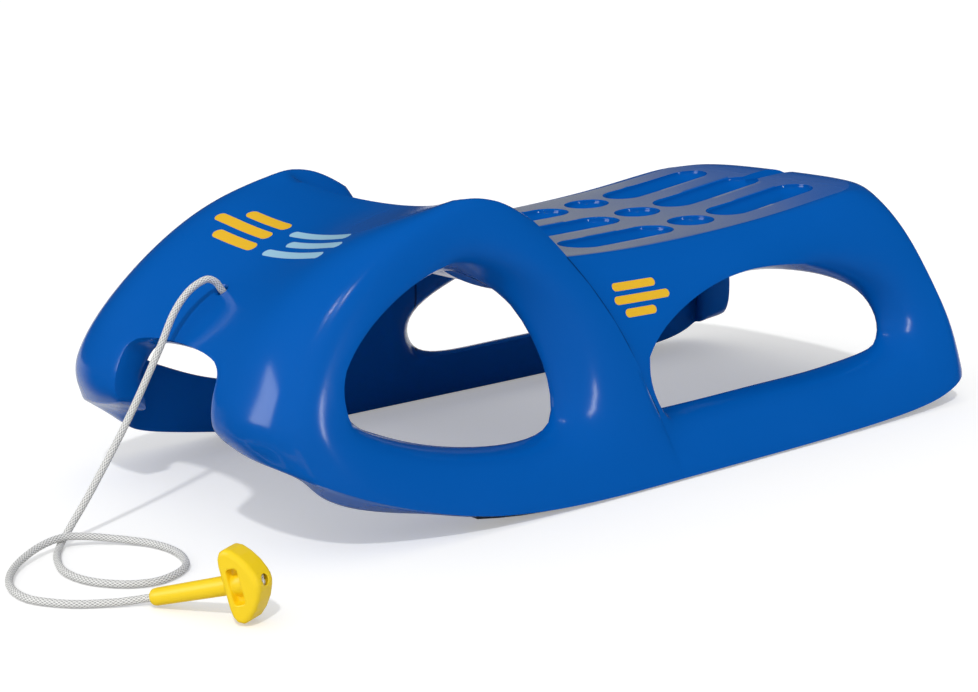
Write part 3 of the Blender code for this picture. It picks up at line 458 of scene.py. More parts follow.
def grained_plastic(name, colour, finish, grain_scale=GRAIN_SCALE, marks=None, plain=None):
    """Makes a moulded plastic with grain, slow waves and slightly uneven tone."""
    roughness, height, grain_share = finish
    made, tree = fresh_material(name)
    place = node(tree, "ShaderNodeTexCoord").outputs["Object"]
    grain = use_group(tree, "plastic_grain", plastic_grain_group,
                      {"Vector": place, "Grain Share": grain_share, "Grain Scale": grain_scale})
    darker = [channel * TONE_SPREAD for channel in colour[:3]] + [1]
    base = mixed(tree, grain["Tone"], darker, colour)
    # The marks may lay print and painted shade over the base colour.
    if marks:
        base = marks(tree, place, base)
    gloss = remap(tree, grain["Tone"], (0.0, 1.0),
                  (roughness - GLOSS_SPREAD, roughness + GLOSS_SPREAD))
    values = {"Normal": relief(tree, grain["Height"], 1.0, height), "IOR": PLASTIC_IOR}
    # Painted sheen: the pale seat colour shows over the body colour only where the panel is seen at
    # a flat glance, and the sheen's weight follows the same mask.
    if plain:
        plain_colour, plain_gloss = plain
        mask = panel_edge(tree, place)
        pale = sums(tree, "MULTIPLY", mask, grazing(tree))
        base = mixed(tree, pale, plain_colour, base)
        gloss = between(tree, mask, plain_gloss, gloss)
        values |= {"Sheen Weight": sums(tree, "MULTIPLY", pale, SHEEN),
                   "Sheen Roughness": SHEEN_GLOSS}
    finish_material(tree, values | {"Base Color": base, "Roughness": gloss})
    made.diffuse_color = colour
    return made


def step_line(sizes):
    """Reads places along the foot of the side step from the cage of the body."""
    cage = [body_point(sizes, STRIP[STEP_COLUMN + 1 - FRONT_COLUMNS][3])]
    cage += [body_point(sizes, share) for share in COLUMNS[STEP_COLUMN + 1]]
    line = []
    for a, b, c, d in zip(cage, cage[1:], cage[2:], cage[3:]):
        for t in (0, 0.5) if not line else (0, 0.5, 1):
            line.append((a * (1 - t) ** 3 + b * (3 * t ** 3 - 6 * t ** 2 + 4)
                         + c * (-3 * t ** 3 + 3 * t ** 2 + 3 * t + 1) + d * t ** 3) / 6)
    return [Vector((0, point.y + SETTLE.y + STEP_SHADE_BACK, point.z)) for point in line]


def step_shade(tree, place, base, line):
    """Darkens a colour with painted shade along the foot of the side step."""
    flat = vectors(tree, "MULTIPLY", place, (0, 1, 1)).outputs[0]
    away = None
    for start, end in zip(line, line[1:]):
        way = end - start
        offset = vectors(tree, "SUBTRACT", flat, start).outputs[0]
        along = vectors(tree, "DOT_PRODUCT", offset, way).outputs["Value"]
        share = sums(tree, "DIVIDE", along, way.length_squared, clamp=True)
        foot = node(tree, "ShaderNodeVectorMath", {0: way, "Scale": share}, operation="SCALE")
        reach = vectors(tree, "DISTANCE", offset, foot.outputs[0]).outputs["Value"]
        away = sums(tree, "MINIMUM", away, reach) if away else reach
    dark, soft, tone = STEP_SHADE
    return mixed(tree, 1.0, base, remap(tree, away, (dark, soft), (tone, 1.0)), "MULTIPLY")


def bars_and_painted_step_shade(colours, line):
    """Returns the maker of the plain printed bars on hood and sides and of the painted shade along
    the step.
    """
    def paint(tree, place, base):
        """Lays slanted bars in two colours over the base colour and darkens it with painted shade
        along the step.
        """
        whole, folded = split(tree, place), split(tree, vectors(tree, "ABSOLUTE", place).outputs[0])
        mirrored = node(tree, "ShaderNodeCombineXYZ", {0: folded[0], 1: whole[1], 2: whole[2]})
        for source, (centre, turn, bars) in ((place, HOOD_BARS), (mirrored.outputs[0], SIDE_BARS)):
            flat = node(tree, "ShaderNodeMapping", {
                "Vector": source, "Location": centre, "Rotation": tuple(map(math.radians, turn))},
                vector_type="TEXTURE").outputs[0]
            near = sums(tree, "LESS_THAN", sums(tree, "ABSOLUTE", split(tree, flat)[2]), BAR_REACH)
            for x, y, half_length, radius, colour in bars:
                bar = use_group(tree, "rounded_bar", rounded_bar_group, {
                    "Vector": flat, "X": x, "Y": y, "Half Length": half_length, "Radius": radius})
                mask = sums(tree, "MULTIPLY", bar[0], near)
                base = mixed(tree, mask, base, getattr(colours, colour))
        return step_shade(tree, place, base, line)
    return paint


def panel_edge(tree, place):
    """Returns a mask that ends the grained panel with rounded rear corners."""
    across, along = split(tree, place)[:2]
    over = (sums(tree, "SUBTRACT", sums(tree, "ABSOLUTE", across), PANEL_HALF - PANEL_CORNER),
            sums(tree, "SUBTRACT", along, PANEL_END - PANEL_CORNER))
    squares = [sums(tree, "POWER", sums(tree, "MAXIMUM", way, 0.0), 2.0) for way in over]
    away = sums(tree, "SQRT", sums(tree, "ADD", *squares))
    inside = sums(tree, "MULTIPLY", sums(tree, "SUBTRACT", PANEL_CORNER, away), PANEL_EDGE,
                  clamp=True)
    # The fade towards the rear end also fades the painted sheen.
    fade = remap(tree, along, (PANEL_FADE, PANEL_END), (1.0, 0.0))
    return sums(tree, "MULTIPLY", inside, fade)


def grazing(tree):
    """Returns a mask of the places that are seen at a flat angle."""
    weight = node(tree, "ShaderNodeLayerWeight", {"Blend": 0.5})
    return remap(tree, weight.outputs["Facing"], GRAZING)


def braided_yarn(name, colours):
    """Makes the braided yarn of cord and knots."""
    made, tree = fresh_material(name)
    place = node(tree, "ShaderNodeUVMap", uv_map="cord_map").outputs[0]
    braid = use_group(tree, "braid", braid_group, {"Vector": place})
    # The gaps between the yarns are darkened with painted shade.
    tone = mixed(tree, remap(tree, braid["Yarn"], YARN_DARK), colours.cord_gap_shade, colours.cord)
    fleck = remap(tree, braid["Fleck"], FLECK, (FLECK_TONE, 1.0))
    finish_material(tree, {"Base Color": mixed(tree, 1.0, tone, fleck, "MULTIPLY"),
                           "Roughness": YARN_GLOSS, "Sheen Weight": YARN_SHEEN,
                           "Normal": relief(tree, braid["Yarn"], *YARN_RELIEF)})
    return made


def worn_steel(name, colour, roughness):
    """Makes drawn steel with fine lines along the runner."""
    made, tree = fresh_material(name)
    place = node(tree, "ShaderNodeTexCoord").outputs["Object"]
    stretched = node(tree, "ShaderNodeMapping", {"Vector": place, "Scale": LINE_STRETCH}).outputs[0]
    lines = noise(tree, stretched, LINE_SCALE, 3.0)
    gloss = remap(tree, lines, LINE_RANGE, [roughness + change for change in LINE_GLOSS])
    finish_material(tree, {"Base Color": colour, "Metallic": 1.0, "Roughness": gloss,
                           "Normal": relief(tree, lines, *LINE_RELIEF)})
    return made


def link(made):
    """Puts a piece into the scene."""
    bpy.context.scene.collection.objects.link(made)
    return made


def to_object(name, bm):
    """Turns a bmesh into a piece of the scene."""
    data = bpy.data.meshes.new(name)
    bm.to_mesh(data)
    bm.free()
    return link(bpy.data.objects.new(name, data))


def closed_object(name, bm):
    """Turns a closed bmesh into a piece whose faces look outward."""
    bmesh.ops.recalc_face_normals(bm, faces=bm.faces)
    return to_object(name, bm)


def baked(made):
    """Applies a piece's modifiers to its mesh."""
    bpy.context.view_layer.update()
    shape = made.evaluated_get(bpy.context.evaluated_depsgraph_get())
    data = bpy.data.meshes.new_from_object(shape)
    made.modifiers.clear()
    old = made.data
    made.data = data
    bpy.data.meshes.remove(old)
    data.name = made.name
    return made


def cut(made, cutter, operation="DIFFERENCE", own_material=False):
    """Adds an exact cut or join with another shape, which may bring its material along."""
    modifier = made.modifiers.new(cutter.name, "BOOLEAN")
    modifier.operation = operation
    modifier.solver = "EXACT"
    modifier.material_mode = "TRANSFER" if own_material else "INDEX"
    modifier.object = cutter
    return cutter


def drop(shapes):
    """Removes the shapes that cut or joined a piece."""
    for shape in shapes:
        bpy.data.objects.remove(shape)


def crisp_smooth(made, angle):
    """Shades smooth and keeps the edges sharper than an angle."""
    bm = bmesh.new()
    bm.from_mesh(made.data)
    for face in bm.faces:
        face.smooth = True
    for edge in bm.edges:
        edge.smooth = not (len(edge.link_faces) == 2 and edge.calc_face_angle(0) > angle)
    bm.to_mesh(made.data)
    bm.free()


def body_point(sizes, share):
    """Turns shares of half width, length and height into a place on the body."""
    across, along, up = share
    return Vector((across * sizes.half_width, along * sizes.length,
                   up * sizes.height + RUNNER_PROUD))


def inner_rows(sizes):
    """Lays out the underside of the strip."""
    rows = []
    for number, (row, (along, up)) in enumerate(zip(STRIP, UNDER)):
        outer = [body_point(sizes, share) for share in row]
        across, back = INWARD[number + FRONT_COLUMNS][:2]
        level = body_point(sizes, (0, along, up))
        points = [Vector((point.x, level.y, level.z)) for point in outer[:3]]
        inside = 0 < number < len(STRIP) - 1
        if inside:
            points[2].x -= UNDER_TUCK
        edge_y = level.y if inside else outer[3].y + back * sizes.wall
        edge_x = outer[3].x + across * (sizes.wall - UNDER_EDGE_DROP)
        rows.append(points + [Vector((edge_x, edge_y, level.z - UNDER_EDGE_DROP))])
    return rows


def column_end(rows, number):
    """Finds the point of the strip that a column hangs from."""
    if number < FRONT_COLUMNS:
        return rows[0][number + 1]
    if number == len(COLUMNS) - 1:
        return rows[-1][FRONT_COLUMNS]
    return rows[number - FRONT_COLUMNS][3]


def inner_column(sizes, number, top):
    """Lays out the inner wall behind one column, below its top point."""
    across, first_along, along = INWARD[number]
    points = []
    for row, share in enumerate(COLUMNS[number]):
        shift = along if row else first_along
        point = body_point(sizes, share) + Vector((across * sizes.wall, shift * sizes.wall, 0))
        if row == 0:
            point.z = min(point.z - SHOULDER_DROP, top.z - SHOULDER_STEP)
        elif row == 1:
            fall = HEAD_DROP if REAR_CELLS[0] <= number <= REAR_CELLS[1] + 1 else 0
            point.z = min(point.z - fall, top.z - HEAD_STEP)
        elif row == 2:
            point.z += SILL_RISE
        elif number < len(NOSE):
            point.z = max(RUNNER_PROUD, point.z - NOSE_DROP * NOSE[number])
        points.append(point)
    return points


def grow(bm, row, places):
    """Extrudes a row of points to its next places."""
    edges = [bm.edges.get(pair) for pair in zip(row, row[1:])]
    made = bmesh.ops.extrude_edge_only(bm, edges=edges)["geom"]
    fresh = {tuple(vert.co): vert for vert in made if isinstance(vert, bmesh.types.BMVert)}
    following = [fresh[tuple(vert.co)] for vert in row]
    for vert, place in zip(following, places):
        vert.co = place
    return following


def skin(bm, rows, columns):
    """Grows one side of the shell, first along the strip and then down the sides."""
    strip = [[bm.verts.new(point) for point in rows[0]]]
    for pair in zip(strip[0], strip[0][1:]):
        bm.edges.new(pair)
    for row in rows[1:]:
        strip.append(grow(bm, strip[-1], row))
    levels = [[column_end(strip, number) for number in range(len(columns))]]
    for level in range(4):
        levels.append(grow(bm, levels[-1], [column[level] for column in columns]))
    return strip, levels


def face_among(*corners):
    """Finds the face between four points."""
    return next(face for face in corners[0].link_faces if set(face.verts) == set(corners))


def opening_loop(bm, levels, cells):
    """Opens the cells between head and sill and returns the edges round them."""
    first, last = cells
    head, sill = levels[2], levels[3]
    for number in range(first, last + 1):
        bm.faces.remove(face_among(head[number], head[number + 1], sill[number], sill[number + 1]))
    for number in range(first + 1, last + 1):
        bm.edges.remove(bm.edges.get((head[number], sill[number])))
    pairs = [(row[number], row[number + 1]) for row in (head, sill)
             for number in range(first, last + 1)]
    pairs += [(head[first], sill[first]), (head[last + 1], sill[last + 1])]
    return [bm.edges.get(pair) for pair in pairs]


def rim_loop(bm, strip, levels):
    """Returns the edges from the front arch down, along the feet and up the rear arch."""
    path = [strip[0][0]] + [level[0] for level in levels] + levels[4][1:]
    path += [level[-1] for level in reversed(levels[:4])] + [strip[-1][1], strip[-1][0]]
    return [bm.edges.get(pair) for pair in zip(path, path[1:])]


def crease_rows(bm, outer, inner):
    """Creases feet, seat edge, hood rim, side step, openings and arches."""
    layer = bm.edges.layers.float.new("crease_edge")

    def crease(path, strength):
        """Creases the edges along a path of points."""
        for pair in zip(path, path[1:]):
            bm.edges.get(pair)[layer] = strength

    crease(inner[1][4], FOOT_CREASE)
    strip, levels = outer
    crease(levels[4], FOOT_CREASE)
    crease([row[3] for row in strip[SEAT_ROWS[0]:SEAT_ROWS[1] + 1]], SEAT_CREASE)
    crease(strip[HOOD_ROW], HOOD_CREASE)
    crease([row[3] for row in strip[HOOD_ROW:SEAT_ROWS[0]]], CREST_CREASE)
    for column, strength in ((STEP_COLUMN, STEP_CREASE), (STEP_COLUMN + 1, HOLLOW_CREASE)):
        crease([level[column] for level in levels[:4]], strength)
    for first, last in (FRONT_CELLS, REAR_CELLS):
        crease([levels[2][first], levels[3][first]], RIM_END_CREASE)
        crease(inner[1][3][first:last + 2], INNER_SILL_CREASE)
        crease(levels[2][first:last + 1], RIM_CREASE)
    crease(strip[0][:2] + [level[0] for level in levels[1:]], ARCH_CREASE)
    crease(strip[-1][:3] + [level[-1] for level in levels[1:]], ARCH_CREASE)


def body_cage(sizes):
    """Builds the cage of the whole body, with its openings and both walls."""
    bm = bmesh.new()
    outer = skin(bm, [[body_point(sizes, share) for share in row] for row in STRIP],
                 [[body_point(sizes, share) for share in column] for column in COLUMNS])
    under = inner_rows(sizes)
    inner = skin(bm, under, [inner_column(sizes, number, column_end(under, number))
                             for number in range(len(COLUMNS))])
    for row in range(SEAT_ROWS[0], SEAT_ROWS[1] + 1):
        for place in range(3):
            corners = [outer[0][row + down][place + over] for down in (0, 1) for over in (0, 1)]
            face_among(*corners).material_index = 1
    for cells in (FRONT_CELLS, REAR_CELLS):
        edges = opening_loop(bm, outer[1], cells) + opening_loop(bm, inner[1], cells)
        bmesh.ops.bridge_loops(bm, edges=edges)
    bmesh.ops.bridge_loops(bm, edges=rim_loop(bm, *outer) + rim_loop(bm, *inner))
    crease_rows(bm, outer, inner)
    bmesh.ops.mirror(bm, geom=bm.verts[:] + bm.edges[:] + bm.faces[:], axis="X", merge_dist=SEAM)
    return bm


def seat_level(sizes, along):
    """Reads height and slope of the seat at a place along it."""
    rows = [body_point(sizes, row[0]) for row in STRIP[SEAT_ROWS[0]:SEAT_ROWS[1] + 2]]
    for first, second in zip(rows, rows[1:]):
        if along <= second.y:
            break
    slope = (second.z - first.z) / (second.y - first.y)
    return first.z + slope * (along - first.y), slope


def spun(bm, profile, steps):
    """Spins a profile, listed from top to bottom, round the Z axis into a closed shape."""
    points = [bm.verts.new((radius, 0, height)) for radius, height in profile]
    edges = [bm.edges.new(pair) for pair in zip(points, points[1:])]
    bmesh.ops.spin(bm, geom=points + edges, cent=(0, 0, 0), axis=(0, 0, 1), dvec=(0, 0, 0),
                   angle=math.tau, steps=steps, use_merge=True, use_duplicate=False)
    bmesh.ops.remove_doubles(bm, verts=bm.verts, dist=MERGE)


def bowl_profile(radius, depth, lip):
    """Gives the profile of a pocket: flared lip, wall and bowl."""
    rim = depth * BOWL_RIM
    points = [(0, OVERCUT), (radius + lip + OVERCUT, OVERCUT)]
    points += [(radius + lip * out, -lip * down) for out, down in LIP_ROUND]
    for step in range(1, BOWL_STEPS):
        turn = math.pi / 2 * step / BOWL_STEPS
        points.append((radius * math.cos(turn) ** (2 / BOWL_POWER),
                       -rim - (depth - rim) * math.sin(turn) ** (2 / BOWL_POWER)))
    return points + [(0, -depth)]


def pocket(sizes, bm, across, ends, radius, depth, lip):
    """Adds one round-ended pocket that follows the seat to the cutting shape."""
    start, stop = (share * sizes.length for share in ends)
    first_level, second_level = seat_level(sizes, start)[0], seat_level(sizes, stop)[0]
    tilt = (math.atan2(second_level - first_level, stop - start) if stop > start
            else math.atan(seat_level(sizes, start)[1]))
    part = bmesh.new()
    spun(part, bowl_profile(radius, depth, lip), POCKET_STEPS)
    bmesh.ops.rotate(part, verts=part.verts, matrix=Matrix.Rotation(math.pi / POCKET_STEPS, 3, "Z"))
    half = math.hypot(second_level - first_level, stop - start) / 2
    for vert in part.verts:
        if abs(vert.co.y) > ON_AXIS:
            vert.co.y += math.copysign(half, vert.co.y)
    place = Matrix.Translation((across, (start + stop) / 2, (first_level + second_level) / 2))
    bmesh.ops.transform(part, matrix=place @ Matrix.Rotation(tilt, 4, "X"), verts=part.verts)
    bmesh.ops.recalc_face_normals(part, faces=part.faces)
    data = bpy.data.meshes.new("pocket")
    part.to_mesh(data)
    part.free()
    bm.from_mesh(data)
    bpy.data.meshes.remove(data)


def hole_place(sizes):
    """Gives the mouth of the cord hole and the way out of it."""
    along, up = HOLE_PLACE
    return body_point(sizes, (0, along, up)), Vector((0, -math.sin(HOLE_LEAN), math.cos(HOLE_LEAN)))


def hole_cutter(sizes):
    """Makes the shape of the cord hole with its rounded mouth."""
    bm = bmesh.new()
    wide, end = HOLE_RADIUS + HOLE_FLARE, -HOLE_REACH * HOLE_PAST
    spun(bm, ((0, HOLE_REACH), (wide + OVERCUT, HOLE_REACH), (wide, HOLE_LIP),
              *((HOLE_RADIUS + more, -down) for more, down in HOLE_ROUND),
              (HOLE_RADIUS, end), (0, end)), HOLE_STEPS)
    bmesh.ops.rotate(bm, verts=bm.verts, matrix=Matrix.Rotation(HOLE_TURN, 3, "Z"))
    place = Matrix.Translation(hole_place(sizes)[0])
    bmesh.ops.transform(bm, verts=bm.verts, matrix=place @ Matrix.Rotation(HOLE_LEAN, 4, "X"))
    return closed_object("hole_cutter", bm)


class SledBody(bpy.types.Operator):
    """Makes the moulded body with its pockets and cord hole"""

    bl_idname = "sled.make_body"
    bl_label = "Moulded Body"

    def execute(self, context):
        """Builds the body and gives it its finish."""
        sizes, colours = context.scene.sled_sizes, context.scene.sled_colours
        body = closed_object("moulded_body", body_cage(sizes))
        # The marks are the printed bars and the painted shade along the foot of the side step.
        marks = bars_and_painted_step_shade(colours, step_line(sizes))
        body.data.materials.append(grained_plastic("blue_plastic", colours.body, BODY_FINISH,
                                                   marks=marks))
        # The grained seat carries a painted sheen, whose pale colour shows only at a flat glance.
        body.data.materials.append(grained_plastic(
            "blue_seat_grain", colours.seat, SEAT_FINISH, SEAT_GRAIN_SCALE,
            plain=(colours.body, SEAT_EDGE_GLOSS)))
        rounding = body.modifiers.new("rounding", "SUBSURF")
        rounding.levels = rounding.render_levels = BODY_LEVELS
        bm = bmesh.new()
        for ends in POCKETS:
            for column in (-1, 0, 1):
                pocket(sizes, bm, column * POCKET_PITCH, ends, sizes.pocket_radius,
                       sizes.pocket_depth, sizes.pocket_lip)
        pockets = to_object("pocket_cutter", bm)
        gloss = grained_plastic("blue_pocket_gloss", colours.body, POCKET_FINISH)
        pockets.data.materials.append(gloss)
        bm = bmesh.new()
        pocket(sizes, bm, 0, CHANNEL, CHANNEL_RADIUS, CHANNEL_DEPTH, sizes.pocket_lip)
        channel = to_object("channel_cutter", bm)
        channel.data.materials.append(gloss)
        shapes = [cut(body, pockets, own_material=True), cut(body, channel, own_material=True),
                  cut(body, hole_cutter(sizes))]
        baked(body)
        drop(shapes)
        if not body.data.polygons:
            raise RuntimeError("the body came out empty")
        body.data.transform(Matrix.Translation(SETTLE))
        crisp_smooth(body, CRISP_ANGLE)
        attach(body, "sled")
        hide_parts("sled_body")
        return {"FINISHED"}


class SledRunners(bpy.types.Operator):
    """Finishes the steel strips and their screws"""

    bl_idname = "sled.finish_runners"
    bl_label = "Runner Strips"

    def execute(self, context):
        """Gives strips and screws their steel."""
        colours = context.scene.sled_colours
        darker = [channel * SCREW_TONE for channel in colours.steel[:3]] + [1]
        strip = worn_steel("strip_steel_drawn", colours.steel, STRIP_GLOSS)
        screw = worn_steel("screw_steel_plain", darker, SCREW_GLOSS)
        for name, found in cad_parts.items():
            if name.startswith("runner_strip") or name.startswith("strip_screw"):
                for place in found.material_slots:
                    place.material = strip if name.startswith("runner_strip") else screw
        return {"FINISHED"}


def smooth_route(points, step):
    """Runs a smooth curve through the route and reads it at even steps."""
    padded = [points[0] * 2 - points[1]] + points + [points[-1] * 2 - points[-2]]
    fine = []
    for a, b, c, d in zip(padded, padded[1:], padded[2:], padded[3:]):
        for number in range(ROUTE_READS):
            t = number / ROUTE_READS
            fine.append((b * 2 + (c - a) * t + (a * 2 - b * 5 + c * 4 - d) * t ** 2
                         + (b * 3 - a - c * 3 + d) * t ** 3) / 2)
    fine.append(points[-1])
    lengths = [0]
    for first, second in zip(fine, fine[1:]):
        lengths.append(lengths[-1] + (second - first).length)
    count = round(lengths[-1] / step)
    read, place = [], 0
    for number in range(count + 1):
        wanted = lengths[-1] * number / count
        while place < len(fine) - 2 and lengths[place + 1] < wanted:
            place += 1
        span = lengths[place + 1] - lengths[place]
        share = (wanted - lengths[place]) / span if span else 0
        read.append(fine[place].lerp(fine[place + 1], share))
    return read


def grip_frame(sizes):
    """Gives the cord end of the grip's stem and the grip's turn."""
    turn = Matrix.Rotation(GRIP_TURN, 3, "Z") @ Matrix.Rotation(-GRIP_LIFT, 3, "Y")
    return Vector(GRIP_PLACE) * sizes.length, turn


def cord_route(sizes):
    """Lists the route from the knot under the hood to the knot in the grip."""
    mouth, out = hole_place(sizes)
    place, turn = grip_frame(sizes)
    way = turn @ Vector((1, 0, 0))
    inner = mouth - out * (HOLE_REACH + KNOT_STANDOFF - KNOT_REACH - KNOT_NEST)
    points = [inner, mouth.lerp(inner, 0.5), mouth]
    points += [Vector(share) * sizes.length for share in ROUTE]
    points += [place - way * sizes.cord_diameter, place, place + way * KNOT_SEAT / 2,
               place + way * KNOT_SEAT]
    return [point + SETTLE for point in points]


def braid_height(round_way, along):
    """Gives how far a braid's yarn stands up at a place round and along a cord."""
    first = round_way * BRAID_STRANDS + along / BRAID_STEP
    second = round_way * BRAID_STRANDS - along / BRAID_STEP
    one, two = abs(math.sin(first * math.pi)), abs(math.sin(second * math.pi))
    over = one if (math.floor(first) + math.floor(second)) % 2 else two
    return over * max(one, two)


def braided_tube(name, path, radius, sides):
    """Makes a braided tube along a path, with its own UV map."""
    bm = bmesh.new()
    layer = bm.loops.layers.uv.new("cord_map")
    ways = [(after - before).normalized()
            for before, after in zip([path[0]] + path[:-1], path[1:] + [path[-1]])]
    side = ways[0].orthogonal().normalized()
    along, rings, marks = 0, [], []
    for number, (point, way) in enumerate(zip(path, ways)):
        if number:
            along += (point - path[number - 1]).length
            side = (side - way * side.dot(way)).normalized()
        up = way.cross(side)
        ring = []
        for corner in range(sides):
            turn = corner / sides
            reach = radius * (1 - BRAID_RELIEF + BRAID_RELIEF * braid_height(turn, along))
            angle = turn * math.tau
            out = side * math.cos(angle) + up * math.sin(angle)
            ring.append(bm.verts.new(point + out * reach))
        rings.append(ring)
        marks.append(along)
    for first, second, start, stop in zip(rings, rings[1:], marks, marks[1:]):
        for corner in range(sides):
            other = (corner + 1) % sides
            face = bm.faces.new((first[corner], first[other], second[other], second[corner]))
            face.smooth = True
            for loop, place in zip(face.loops, ((corner, start), (corner + 1, start),
                                                (corner + 1, stop), (corner, stop))):
                loop[layer].uv = (place[0] / sides, place[1])
    for ring in (rings[0], rings[-1]):
        bm.faces.new(ring)
    return closed_object(name, bm)


class SledCord(bpy.types.Operator):
    """Makes the braided pull cord and its two knots"""

    bl_idname = "sled.make_cord"
    bl_label = "Pull Cord and Knots"

    def execute(self, context):
        sizes, colours = context.scene.sled_sizes, context.scene.sled_colours
        yarn = braided_yarn("braided_yarn", colours)
        route = cord_route(sizes)
        path = smooth_route(route, CORD_RING_STEP)
        cord = braided_tube("braided_cord", path, sizes.cord_diameter / 2, CORD_SIDES)
        cord.data.materials.append(yarn)
        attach(cord, "sled")
        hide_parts("pull_cord")
        mouth, out = hole_place(sizes)
        place, turn = grip_frame(sizes)
        way = turn @ Vector((1, 0, 0))
        for name, node_name, centre, axis, size in (
                ("stop_knot", "cord_stop_knot", mouth - out * (HOLE_REACH + KNOT_STANDOFF), out,
                 STOP_KNOT_SIZE),
                ("grip_knot", "handle_knot", place + way * (KNOT_SEAT + GRIP_KNOT_LIFT), way,
                 GRIP_KNOT_SIZE)):
            knot = self.knot(name, centre + SETTLE, axis, sizes.cord_diameter / 2, size)
            knot.data.materials.append(yarn)
            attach(knot, "sled")
            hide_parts(node_name)
        return {"FINISHED"}

    @staticmethod
    def knot(name, centre, axis, radius, size):
        """Ties a tight overhand knot about the cord's line."""
        scale = radius * size
        points = []
        for number in range(KNOT_POINTS):
            t = number / (KNOT_POINTS - 1) * math.tau * KNOT_PART
            points.append(scale * Vector((
                math.sin(t) + 2 * math.sin(2 * t), math.cos(t) - 2 * math.cos(2 * t),
                -KNOT_DEPTH * math.sin(3 * t))))
        turned = axis.to_track_quat("Z", "Y").to_matrix()
        path = [centre + turned @ point for point in points]
        return braided_tube(name, path, radius * KNOT_BRAID, KNOT_SIDES)


def rounded(bm, edges, rounding, segments):
    """Rounds edges."""
    bmesh.ops.bevel(bm, geom=edges, offset=rounding, segments=segments, profile=0.5,
                    affect="EDGES", material=-1)


def grip_head():
    """Builds the rounded head of the grip as a closed plate."""
    bm = bmesh.new()
    outline = [(STEM_LENGTH + HEAD_DEPTH * deep, HEAD_LENGTH * long) for deep, long in HEAD_OUTLINE]
    outline += [(deep, -long) for deep, long in reversed(outline)]
    points = [bm.verts.new((deep, -HEAD_THICKNESS / 2, long)) for deep, long in outline]
    face = bm.faces.new(points)
    made = bmesh.ops.extrude_face_region(bm, geom=[face])["geom"]
    bmesh.ops.translate(bm, verts=[vert for vert in made if isinstance(vert, bmesh.types.BMVert)],
                        vec=(0, HEAD_THICKNESS, 0))
    bmesh.ops.recalc_face_normals(bm, faces=bm.faces)
    flat = [edge for edge in bm.edges
            if abs(edge.verts[0].co.y - edge.verts[1].co.y) < SAME_LEVEL]
    rounded(bm, flat, HEAD_ROUND, HEAD_SEGMENTS)
    return to_object("grip_head", bm)


def rounded_block(name, size, rounding, segments, place):
    """Makes a block with rounded edges at a place."""
    bm = bmesh.new()
    bmesh.ops.create_cube(bm, size=1)
    bmesh.ops.scale(bm, verts=bm.verts, vec=size)
    rounded(bm, bm.edges[:], rounding, segments)
    bmesh.ops.translate(bm, verts=bm.verts, vec=place)
    return to_object(name, bm)


def along_x(name, profile, steps):
    """Spins a profile, listed from far to near, round the X axis."""
    bm = bmesh.new()
    spun(bm, profile, steps)
    bmesh.ops.rotate(bm, verts=bm.verts, matrix=Matrix.Rotation(math.pi / 2, 3, "Y"))
    return closed_object(name, bm)


class SledGrip(bpy.types.Operator):
    """Makes the yellow grip with its stem, head and recesses"""

    bl_idname = "sled.make_grip"
    bl_label = "Grip"

    def execute(self, context):
        """Builds the grip and gives it its finish."""
        sizes, colours = context.scene.sled_sizes, context.scene.sled_colours
        grip = along_x("moulded_grip", (
            (0, GRIP_END - HEAD_DEPTH / 2), (STEM_ROOT_RADIUS, GRIP_END - HEAD_DEPTH / 2),
            (STEM_ROOT_RADIUS, STEM_LENGTH),
            *((STEM_RADIUS - less, along) for along, less in STEM_ROUND), (0, 0)), STEM_STEPS)
        head = grip_head()
        cores = [rounded_block(
            f"core_{side + 2}", (CORE_ALONG, CORE_SINK * 2, CORE_LENGTH), CORE_ROUND, CORE_SEGMENTS,
            (STEM_LENGTH + CORE_START + CORE_ALONG / 2, side * HEAD_THICKNESS / 2, 0))
                 for side in (-1, 1)]
        for core in cores:
            cut(head, core)
        boss = along_x("boss", (
            (0, GRIP_END - KNOT_SEAT_DEPTH / 2), (BOSS_RADIUS, GRIP_END - KNOT_SEAT_DEPTH / 2),
            (BOSS_RADIUS, STEM_LENGTH + HEAD_ROUND), (0, STEM_LENGTH + HEAD_ROUND)), BOSS_STEPS)
        bore = along_x("bore", ((0, GRIP_END), (BORE_RADIUS, GRIP_END),
                                (BORE_RADIUS, -BORE_PAST), (0, -BORE_PAST)), BORE_STEPS)
        seat = along_x("knot_seat", (
            (0, GRIP_END + BORE_PAST), (MOUTH_RADIUS, GRIP_END + BORE_PAST),
            (MOUTH_RADIUS, GRIP_END - MOUTH_LIP), (KNOT_SEAT_RADIUS, GRIP_END - MOUTH_FLARE),
            (KNOT_SEAT_RADIUS, KNOT_SEAT), (0, KNOT_SEAT)), SEAT_STEPS)
        for shape, operation in ((head, "UNION"), (boss, "UNION"), (bore, "DIFFERENCE"),
                                 (seat, "DIFFERENCE")):
            cut(grip, shape, operation)
        even = grip.modifiers.new("even", "REMESH")
        even.mode = "VOXEL"
        even.voxel_size = GRIP_VOXEL
        soften = grip.modifiers.new("soften", "SMOOTH")
        soften.factor, soften.iterations = GRIP_SOFTENING, GRIP_SOFT_STEPS
        baked(grip)
        drop([head, boss, bore, seat] + cores)
        if not grip.data.polygons:
            raise RuntimeError("the grip came out empty")
        place, turn = grip_frame(sizes)
        grip.data.transform(Matrix.Translation(place + SETTLE) @ turn.to_4x4())
        for face in grip.data.polygons:
            face.use_smooth = True
        grip.data.materials.append(grained_plastic("yellow_plastic", colours.grip, GRIP_FINISH))
        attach(grip, "handle")
        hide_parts("pull_handle")
        return {"FINISHED"}


